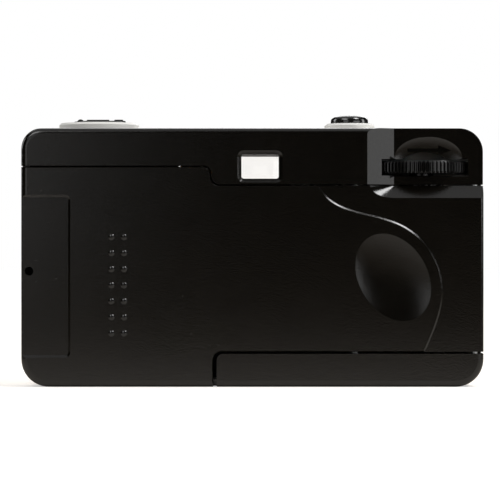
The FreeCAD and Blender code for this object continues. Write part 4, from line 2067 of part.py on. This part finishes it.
PARTS = {
    "rear_door": rear_door,
    "strap_eyelet_insert": eyelet_insert,
    "rear_housing": rear_housing,
    "front_cover": front_cover,
    "chassis": chassis,
    "light_tunnel": light_tunnel,
    "door_hinge_pin": hinge_pin,
    "door_light_seals": door_seals,
    "pressure_plate": pressure_plate,
    "pressure_plate_spring": pressure_spring,
    "cartridge_leaf_spring": cartridge_spring,
    "door_latch_slider": latch_slider,
    "door_latch_spring": latch_spring,
    "latch_spring_keeper": latch_keeper,
    "advance_thumbwheel": advance_wheel,
    "takeup_spool": takeup_spool,
    "film_sprocket": film_sprocket,
    "sprocket_shaft": sprocket_shaft,
    "shutter_charge_cam": shutter_cam,
    "counter_drive_finger": counter_finger,
    "frame_counter_disc": counter_disc,
    "counter_retaining_washer": counter_clip,
    "counter_window": counter_window,
    "anti_reverse_pawl": anti_reverse_pawl,
    "shutter_striker_lever": striker_lever,
    "release_rocker": release_rocker,
    "shutter_button": shutter_button,
    "shutter_button_spring": button_spring,
    "shutter_button_guide": button_guide,
    "shutter_blade": shutter_blade,
    "lens_barrel": lens_barrel,
    "rear_lens_element": rear_lens,
    "aperture_plate": aperture_plate,
    "front_lens_element": front_lens,
    "lens_retaining_ring": retaining_ring,
    "lens_bezel": lens_bezel,
    "rewind_shaft": rewind_shaft,
    "rewind_crank_hub": crank_hub,
    "rewind_crank_arm": crank_arm,
    "crank_hinge_pin": crank_pin,
    "rewind_crank_knob": crank_knob,
    "viewfinder_tube": finder_tube,
    "viewfinder_front_lens": finder_front_lens,
    "viewfinder_eyepiece": eyepiece,
    "flash_reflector": flash_reflector,
    "flash_tube": flash_tube,
    "flash_window": flash_window,
    "flash_circuit_board": flash_board,
    "flash_capacitor": flash_capacitor,
    "flash_switch": flash_switch,
    "flash_ready_lamp": ready_lamp,
    "flash_sync_contact": sync_contact,
    "battery_tray": battery_tray,
    "battery_spring_contact": battery_spring,
    "battery_plate_contact": battery_plate,
    "battery_lid": battery_lid,
    "rewind_release_button": release_button,
    "rewind_release_spring": release_spring,
    "housing_screws": housing_screws,
}


def main():
    os.makedirs("parts", exist_ok=True)
    for name, make in PARTS.items():
        make().exportStep("parts/" + name + ".step")


main()
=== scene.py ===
import json
import math

import bpy
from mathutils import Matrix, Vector

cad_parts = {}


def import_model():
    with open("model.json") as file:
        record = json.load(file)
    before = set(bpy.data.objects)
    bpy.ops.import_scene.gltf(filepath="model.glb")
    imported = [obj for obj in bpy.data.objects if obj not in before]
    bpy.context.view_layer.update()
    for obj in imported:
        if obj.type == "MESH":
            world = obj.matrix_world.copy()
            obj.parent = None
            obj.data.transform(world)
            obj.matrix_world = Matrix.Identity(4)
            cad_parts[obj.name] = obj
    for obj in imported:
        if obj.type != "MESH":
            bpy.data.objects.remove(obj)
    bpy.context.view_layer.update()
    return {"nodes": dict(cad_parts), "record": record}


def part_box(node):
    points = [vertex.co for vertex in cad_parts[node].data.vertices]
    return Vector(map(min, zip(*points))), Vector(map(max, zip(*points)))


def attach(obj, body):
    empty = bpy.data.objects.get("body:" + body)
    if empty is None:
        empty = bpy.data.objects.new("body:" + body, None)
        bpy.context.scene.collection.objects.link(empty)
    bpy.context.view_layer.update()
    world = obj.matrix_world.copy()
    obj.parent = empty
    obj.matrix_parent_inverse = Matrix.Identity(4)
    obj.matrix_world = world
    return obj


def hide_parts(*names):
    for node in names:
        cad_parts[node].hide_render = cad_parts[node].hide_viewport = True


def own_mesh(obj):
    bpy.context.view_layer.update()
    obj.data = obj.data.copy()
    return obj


# The camera's looks: a material for every CAD node, the numbers on the frame counter,
# press springs as pieces of their own, a pale floor, soft studio light and the photograph's
# viewpoint.
# Lengths are in metres. Texture sizes, reliefs, the strap hole, the distances at which the
# paper fades and the travel of the springs are in millimetres.

MM = 0.001

# Viewpoint: a pixel's size on the rear face, and the pixel at which the frame's origin lies.
PHOTO_PIXELS = 500
PIXEL = 0.2461 * MM
REAR_FACE_Y = -16.9 * MM
PHOTO_CENTRE = (250.0, 250.0)
PHOTO_ORIGIN = (252.4, 387.0)
CAMERA_DISTANCE = 0.66
SENSOR = 36.0
CLIP_START = 0.01

# The strap hole, in millimetres.
EYELET_X = -55.06
EYELET_Z = 28.5
EYELET_R = 1.1
EYELET_RIM = 0.05

# The black plastic of the housing, the door and the eyelet, the painted shade inside the strap
# hole, and the dust on it.
BODY_COLOUR = (0.0031, 0.0026, 0.0018)
BODY_ROUGH = 0.15
BODY_GRAIN = 0.22
BODY_RELIEF = 0.017
# Painted shade: how dark the inside of the strap hole is coloured, as a share of the body's
# black.
INSIDE_HOLE_PAINTED_SHADE = 0.2
INSIDE_HOLE_ROUGH = 1.0
DUST_COLOUR = (0.35, 0.34, 0.32)

# The noise of every moulded grain, its detail and roughness, and how much acrylic bends light.
GRAIN_NOISE = (2.0, 0.6)
ACRYLIC_INDEX = 1.49

# The frame counter: 40 steps round the disc, a number every 4 steps up to 36 frames.
COUNTER_STEPS = 40
COUNTER_EVERY = 4
COUNTER_FRAMES = 36
NUMBER_RING = 4.6 * MM
NUMBER_SIZE = 1.9 * MM
NUMBER_THICK = 0.01 * MM
DISC_TOP = 59.7 * MM
PRINT_LIFT = 0.02 * MM

# Press springs: node, joint that presses it, travel, end that stays put (0 low, 1 high).
PRESS_SPRINGS = (
    ("shutter_button_spring", "shutter_button_press", 1.8, 0),
    ("door_latch_spring", "latch_slide", 3.0, 0),
    ("rewind_release_spring", "rewind_release_press", 1.2, 1),
)

# Floor paper with a painted pool of light: pale near the camera, dark further off. Its glow is
# what makes it white in view.
FLOOR_REACH = 4.0
FLOOR_Z = -0.05 * MM
PAPER_PALE = (0.86, 0.80, 0.73)
PAPER_PALEST = (0.88, 0.82, 0.75)
PAPER_FAR_PAINTED_DARK = (0.16, 0.135, 0.105)
PAPER_FADE = (50.0, 240.0)
PAPER_GLOW = (0.45, 1.0)
PAPER_ROUGH = 0.9
ROOM_LEVEL = 0.01
BACKGROUND_LEVEL = 1.0

# Soft boxes: name, place, width and height, watts. All face the middle of the camera.
LAMP_TARGET = (0.0, 0.0, 0.03)
LAMPS = (
    ("ceiling_box", (0.0, 0.15, 1.03), (1.6, 1.6), 4.6),
    ("key_box", (0.457, -0.257, 0.76), (0.30, 0.30), 4.3),
    ("upper_left_box", (-0.36, -0.52, 0.62), (0.45, 0.35), 2.2),
    ("rear_left_box", (-0.34, -0.80, 0.17), (0.46, 0.33), 0.48),
    ("rear_right_box", (0.57, -0.57, 0.10), (0.60, 0.20), 0.66),
    ("left_box", (-0.75, 0.25, 0.30), (0.25, 0.4), 1.0),
    ("right_box", (0.80, 0.05, 0.25), (0.25, 0.4), 1.2),
    ("front_box", (0.1, 0.8, 0.45), (0.6, 0.5), 2.5),
)

# Sockets of the Mix node when it mixes colours.
MIX_FIRST = 6
MIX_SECOND = 7
MIX_RESULT = 2


class Look:
    """A material with helpers that add nodes; texture coordinates are in millimetres."""

    def __init__(self, name):
        self.material = bpy.data.materials.new(name)
        self.material.use_nodes = True
        self.tree = self.material.node_tree
        self.shader = self.tree.nodes["Principled BSDF"]
        self.place = None

    def node(self, kind, **settings):
        made = self.tree.nodes.new(kind)
        for key, value in settings.items():
            setattr(made, key, value)
        return made

    def link(self, source, target):
        self.tree.links.new(source, target)

    def value(self, socket, number):
        self.shader.inputs[socket].default_value = number

    def coordinates(self):
        if self.place is None:
            source = self.node("ShaderNodeTexCoord")
            scale = self.node("ShaderNodeVectorMath", operation="SCALE")
            scale.inputs["Scale"].default_value = 1 / MM
            self.link(source.outputs["Object"], scale.inputs[0])
            self.place = scale.outputs["Vector"]
        return self.place

    def vector(self, operation, source, constant):
        """A place that the operation makes of source and a constant vector."""
        made = self.node("ShaderNodeVectorMath", operation=operation)
        self.link(source, made.inputs[0])
        made.inputs[1].default_value = constant
        return made.outputs["Vector"]

    def length(self, source):
        """How far the place source lies from the origin."""
        made = self.node("ShaderNodeVectorMath", operation="LENGTH")
        self.link(source, made.inputs[0])
        return made.outputs["Value"]

    def noise(self, size, detail=2.0, roughness=0.5, factors=None):
        """Cloudy texture whose patches are about size millimetres across."""
        noise = self.node("ShaderNodeTexNoise")
        noise.inputs["Scale"].default_value = 1 / size
        noise.inputs["Detail"].default_value = detail
        noise.inputs["Roughness"].default_value = roughness
        place = self.coordinates()
        if factors:
            place = self.vector("MULTIPLY", place, factors)
        self.link(place, noise.inputs["Vector"])
        return noise.outputs["Fac"]

    def cells(self, size):
        """Distance to the nearest of points about size millimetres apart."""
        cells = self.node("ShaderNodeTexVoronoi")
        cells.inputs["Scale"].default_value = 1 / size
        self.link(self.coordinates(), cells.inputs["Vector"])
        return cells.outputs["Distance"]

    def ramp(self, source, low, high, start, end):
        """source mapped from low..high to start..end, and held there outside."""
        span = self.node("ShaderNodeMapRange")
        span.inputs["From Min"].default_value = low
        span.inputs["From Max"].default_value = high
        span.inputs["To Min"].default_value = start
        span.inputs["To Max"].default_value = end
        self.link(source, span.inputs["Value"])
        return span.outputs["Result"]

    def mix(self, factor, first, second):
        mix = self.node("ShaderNodeMix", data_type="RGBA")
        self.link(factor, mix.inputs["Factor"])
        for socket, colour in ((MIX_FIRST, first), (MIX_SECOND, second)):
            if isinstance(colour, tuple):
                mix.inputs[socket].default_value = (*colour, 1.0)
            else:
                self.link(colour, mix.inputs[socket])
        return mix.outputs[MIX_RESULT]

    def product(self, first, second):
        made = self.node("ShaderNodeMath", operation="MULTIPLY")
        self.link(first, made.inputs[0])
        self.link(second, made.inputs[1])
        return made.outputs["Value"]

    def sum(self, first, second, weight):
        total = self.node("ShaderNodeMath", operation="MULTIPLY_ADD")
        self.link(second, total.inputs[0])
        total.inputs[1].default_value = weight
        self.link(first, total.inputs[2])
        return total.outputs["Value"]

    def bump(self, height, depth_mm):
        """Surface relief; depth_mm is how high a full step of height stands."""
        bump = self.node("ShaderNodeBump")
        bump.inputs["Distance"].default_value = depth_mm * MM
        self.link(height, bump.inputs["Height"])
        self.link(bump.outputs["Normal"], self.shader.inputs["Normal"])

    def colour(self, source):
        self.link(source, self.shader.inputs["Base Color"])

    def rough(self, source):
        self.link(source, self.shader.inputs["Roughness"])


def scaled(colour, factor):
    return tuple(channel * factor for channel in colour)


def moulded(name, colour, rough, grain, depth, spread=0.25, dust=0.0):
    """Moulded plastic: spark-eroded grain, faint cloudiness, slight gloss changes and dust."""
    look = Look(name)
    clouds = look.ramp(look.noise(9.0, 3.0), 0.35, 0.65, 0.0, 1.0)
    shade = look.mix(clouds, scaled(colour, 1 - spread / 2), scaled(colour, 1 + spread / 2))
    if dust:
        specks = look.ramp(look.cells(3.2), 0.028, 0.04, 1.0, 0.0)
        patches = look.ramp(look.noise(11.0), 0.56, 0.6, 0.0, dust)
        shade = look.mix(look.product(specks, patches), shade, DUST_COLOUR)
    look.colour(shade)
    fine = look.noise(grain, *GRAIN_NOISE)
    coarse = look.noise(grain * 2.6, 1.0)
    look.bump(look.sum(fine, coarse, 0.6), depth)
    look.rough(look.ramp(look.noise(5.0, 4.0), 0.3, 0.7, rough - 0.01, rough + 0.015))
    return look.material


def metal(name, colour, rough, grain=(1.0, 1.0, 1.0), spots=0.0):
    """Metal: brushed along one direction where grain is uneven, else rolled or plated."""
    look = Look(name)
    look.value("Metallic", 1.0)
    streaks = look.noise(0.12, 2.0, 0.6, factors=grain)
    shade = look.ramp(streaks, 0.3, 0.7, 0.0, 1.0)
    look.colour(look.mix(shade, scaled(colour, 0.86), scaled(colour, 1.08)))
    look.rough(look.ramp(streaks, 0.3, 0.7, rough, rough + 0.12 + spots))
    look.bump(streaks, 0.004)
    return look.material


def clear(name, colour, rough):
    """Clear acrylic with a trace of haze."""
    look = Look(name)
    haze = look.noise(2.0, 3.0)
    look.colour(look.mix(look.ramp(haze, 0.3, 0.7, 0.0, 1.0), colour, scaled(colour, 0.985)))
    look.value("Transmission Weight", 1.0)
    look.value("IOR", ACRYLIC_INDEX)
    look.rough(look.ramp(haze, 0.4, 0.7, rough, rough + 0.01))
    return look.material


def gloss(name, colour, rough, coat=0.5):
    """Polished plastic or printed sleeve with a thin clear coat."""
    look = Look(name)
    look.colour(look.mix(look.noise(4.0, 3.0), scaled(colour, 0.9), scaled(colour, 1.15)))
    look.rough(look.ramp(look.noise(1.4, 4.0), 0.35, 0.7, rough, rough + 0.07))
    look.value("Coat Weight", coat)
    look.value("Coat Roughness", 0.06)
    look.bump(look.noise(1.2, 2.0), 0.006)
    return look.material


def foam(name):
    """Open-celled black foam, with painted shade in its pores."""
    look = Look(name)
    pores = look.cells(0.35)
    # Painted shade: the pores are coloured darker than the cell walls around them.
    look.colour(look.mix(pores, (0.006, 0.006, 0.006), (0.03, 0.03, 0.03)))
    look.rough(look.ramp(pores, 0.0, 0.6, 0.95, 0.8))
    look.bump(pores, 0.12)
    return look.material


def board(name):
    """A green circuit board with lighter tracks under the mask."""
    look = Look(name)
    patches = look.noise(2.4, 0.0, factors=(1.0, 1.0, 0.35))
    tracks = look.ramp(patches, 0.5, 0.52, 0.0, 1.0)
    look.colour(look.mix(tracks, (0.012, 0.07, 0.022), (0.022, 0.13, 0.04)))
    look.rough(look.ramp(tracks, 0.0, 1.0, 0.38, 0.28))
    look.bump(tracks, 0.03)
    return look.material


def mirror(name):
    """Metallised reflector with a pebbled surface, and painted shade in its dimples."""
    look = Look(name)
    look.value("Metallic", 1.0)
    dimples = look.cells(0.9)
    # Painted shade: the dimples are coloured darker at their centres than at their rims.
    look.colour(look.mix(dimples, (0.80, 0.81, 0.82), (0.9, 0.9, 0.9)))
    look.rough(look.ramp(dimples, 0.0, 0.6, 0.08, 0.14))
    look.bump(dimples, 0.05)
    return look.material


def eyelet_black(name, colour):
    """The body's black, darkened inside the strap hole as painted shade, with a matt wall
    there.
    """
    look = Look(name)
    from_axis = look.vector("SUBTRACT", look.coordinates(), (EYELET_X, 0.0, EYELET_Z))
    reach = look.length(look.vector("MULTIPLY", from_axis, (1.0, 0.0, 1.0)))
    outside = look.ramp(reach, EYELET_R, EYELET_R + EYELET_RIM, 0.0, 1.0)
    # Painted shade: inside the strap hole the colour is darkened to a share of the body's
    # black.
    look.colour(look.mix(outside, scaled(colour, INSIDE_HOLE_PAINTED_SHADE), colour))
    look.rough(look.ramp(outside, 0.0, 1.0, INSIDE_HOLE_ROUGH, BODY_ROUGH))
    look.bump(look.noise(BODY_GRAIN, *GRAIN_NOISE), BODY_RELIEF)
    return look.material


# Every finish: the function that makes it, then that function's settings after the name.
FINISHES = {
    "eyelet_black": (eyelet_black, BODY_COLOUR),
    "body_black": (moulded, BODY_COLOUR, BODY_ROUGH, BODY_GRAIN, BODY_RELIEF, 0.25, 0.5),
    "cover_grey": (moulded, (0.78, 0.77, 0.74), 0.42, 0.14, 0.006, 0.05),
    "inner_black": (moulded, (0.012, 0.012, 0.012), 0.62, 0.2, 0.01),
    "wheel_black": (moulded, (0.0022, 0.0021, 0.0019), 0.22, 0.12, 0.002),
    "button_black": (gloss, (0.007, 0.007, 0.0065), 0.14),
    "crank_black": (moulded, (0.016, 0.0155, 0.014), 0.38, 0.15, 0.005),
    "bezel_black": (gloss, (0.010, 0.010, 0.010), 0.24, 0.3),
    "natural_plastic": (moulded, (0.62, 0.60, 0.53), 0.4, 0.3, 0.004, 0.06),
    "steel": (metal, (0.56, 0.57, 0.58), 0.24, (1.0, 1.0, 0.06)),
    "spring_steel": (metal, (0.46, 0.47, 0.49), 0.3, (0.3, 0.3, 1.0)),
    "blackened_metal": (moulded, (0.014, 0.014, 0.015), 0.46, 0.4, 0.004),
    "nickel": (metal, (0.72, 0.70, 0.64), 0.18, (1.0, 1.0, 1.0), 0.06),
    "clear_plastic": (clear, (1.0, 0.99, 0.975), 0.0),
    "reflector": (mirror,),
    "lamp_orange": (clear, (0.95, 0.30, 0.05), 0.12),
    "board_green": (board,),
    "capacitor_sleeve": (gloss, (0.015, 0.012, 0.03), 0.3, 0.2),
    "foam": (foam,),
}


def make_materials():
    return {name: make(name, *settings) for name, (make, *settings) in FINISHES.items()}


def dress(frame, materials):
    for piece in frame["record"]["subparts"]:
        target = frame["nodes"][piece["node"]]
        # The strap eyelet insert gets the black with painted shade inside its hole.
        has_hole = piece["node"] == "strap_eyelet_insert"
        finish = "eyelet_black" if has_hole else piece["material_slot"]
        target.data.materials.clear()
        target.data.materials.append(materials[finish])


def press_springs(frame, body, material):
    """The coil springs as pieces of their own, attached to the body in place of the hidden CAD
    springs.
    """
    for node, joint, travel, fixed_end in PRESS_SPRINGS:
        wound = bpy.data.objects.new(node + "_wound", frame["nodes"][node].data.copy())
        bpy.context.collection.objects.link(wound)
        wound.data.materials.clear()
        wound.data.materials.append(material)
        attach(wound, body)
        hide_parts(node)
        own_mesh(wound)


def counter_ink():
    look = Look("counter_ink")
    look.colour(look.mix(look.noise(0.2), (0.01, 0.01, 0.01), (0.025, 0.025, 0.025)))
    look.rough(look.ramp(look.noise(0.3), 0.3, 0.7, 0.5, 0.7))
    return look.material


def counter_numbers(body):
    """Plain frame numbers round the counter disc, one for every fourth frame."""
    ink = counter_ink()
    low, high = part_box("frame_counter_disc")
    centre_x, centre_y = (low[0] + high[0]) / 2, (low[1] + high[1]) / 2
    for count in range(0, COUNTER_FRAMES + 1, COUNTER_EVERY):
        turn = 2 * math.pi * count / COUNTER_STEPS
        text = bpy.data.curves.new(f"counter_number_{count}", "FONT")
        text.body = str(count)
        text.size = NUMBER_SIZE
        text.align_x = "CENTER"
        text.align_y = "CENTER"
        text.extrude = NUMBER_THICK
        number = bpy.data.objects.new(f"counter_number_{count}", text)
        bpy.context.collection.objects.link(number)
        x = centre_x + NUMBER_RING * math.cos(turn)
        y = centre_y + NUMBER_RING * math.sin(turn)
        number.location = (x, y, DISC_TOP + PRINT_LIFT)
        number.rotation_euler = (0, 0, turn + math.pi / 2 + math.pi)
        number.data.materials.append(ink)
        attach(number, body)


def seen_directly(tree):
    """1 for what the viewer sees, straight or through clear pieces, and 0 for other light."""
    path = tree.nodes.new("ShaderNodeLightPath")
    seen = tree.nodes.new("ShaderNodeMath")
    seen.operation = "MAXIMUM"
    tree.links.new(path.outputs["Is Camera Ray"], seen.inputs[0])
    tree.links.new(path.outputs["Is Transmission Ray"], seen.inputs[1])
    return seen.outputs["Value"]


def floor_material():
    """Paper that looks white, with a painted pool of light: its colour dims away from the film
    camera.
    """
    look = Look("floor_paper")
    reach = look.length(look.coordinates())
    paper = look.mix(look.noise(3.0, 4.0), PAPER_PALE, PAPER_PALEST)
    # Painted pool of light: the paper's colour turns dark with distance from the film camera.
    look.colour(look.mix(look.ramp(reach, *PAPER_FADE, 0.0, 1.0), paper, PAPER_FAR_PAINTED_DARK))
    look.value("Roughness", PAPER_ROUGH)
    look.value("Specular IOR Level", 0.0)
    seen = seen_directly(look.tree)
    glow = look.node("ShaderNodeEmission")
    lift = look.product(seen, look.ramp(reach, *PAPER_FADE, *PAPER_GLOW))
    look.link(lift, glow.inputs["Strength"])
    total = look.node("ShaderNodeAddShader")
    look.link(look.shader.outputs["BSDF"], total.inputs[0])
    look.link(glow.outputs["Emission"], total.inputs[1])
    look.link(total.outputs["Shader"], look.tree.nodes["Material Output"].inputs["Surface"])
    return look.material


def floor():
    signs = ((-1, -1), (1, -1), (1, 1), (-1, 1))
    corners = [(x * FLOOR_REACH, y * FLOOR_REACH, FLOOR_Z) for x, y in signs]
    mesh = bpy.data.meshes.new("floor")
    mesh.from_pydata(corners, [], [(0, 1, 2, 3)])
    made = bpy.data.objects.new("floor", mesh)
    bpy.context.collection.objects.link(made)
    mesh.materials.append(floor_material())


def world():
    """A dark room that the viewer sees as white, also through clear pieces."""
    made = bpy.data.worlds.new("studio")
    made.use_nodes = True
    tree = made.node_tree
    background = tree.nodes["Background"]
    level = tree.nodes.new("ShaderNodeMapRange")
    level.inputs["To Min"].default_value = ROOM_LEVEL
    level.inputs["To Max"].default_value = BACKGROUND_LEVEL
    tree.links.new(seen_directly(tree), level.inputs["Value"])
    tree.links.new(level.outputs["Result"], background.inputs["Strength"])
    background.inputs["Color"].default_value = (1.0, 1.0, 1.0, 1.0)
    bpy.context.scene.world = made


def lamp(name, place, size, watts):
    light = bpy.data.lights.new(name, "AREA")
    light.shape = "RECTANGLE"
    light.size, light.size_y = size
    light.energy = watts
    made = bpy.data.objects.new(name, light)
    bpy.context.collection.objects.link(made)
    made.location = place
    aim = Vector(LAMP_TARGET) - Vector(place)
    made.rotation_euler = aim.to_track_quat("-Z", "Y").to_euler()


def stage():
    floor()
    world()
    for settings in LAMPS:
        lamp(*settings)


def camera():
    """The photograph's viewpoint: level, behind the rear face, square to it."""
    lens = bpy.data.cameras.new("photo_camera")
    lens.sensor_width = SENSOR
    lens.lens = SENSOR * CAMERA_DISTANCE / (PHOTO_PIXELS * PIXEL)
    lens.clip_start = CLIP_START
    made = bpy.data.objects.new("photo_camera", lens)
    bpy.context.collection.objects.link(made)
    x = (PHOTO_CENTRE[0] - PHOTO_ORIGIN[0]) * PIXEL
    z = (PHOTO_ORIGIN[1] - PHOTO_CENTRE[1]) * PIXEL
    made.location = (x, REAR_FACE_Y - CAMERA_DISTANCE, z)
    made.rotation_euler = (math.pi / 2, 0, 0)
    bpy.context.scene.camera = made


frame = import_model()
materials = make_materials()
dress(frame, materials)
press_springs(frame, "camera_body", materials["spring_steel"])
counter_numbers("counter")
stage()
camera()
bpy.context.scene.view_settings.view_transform = "Standard"
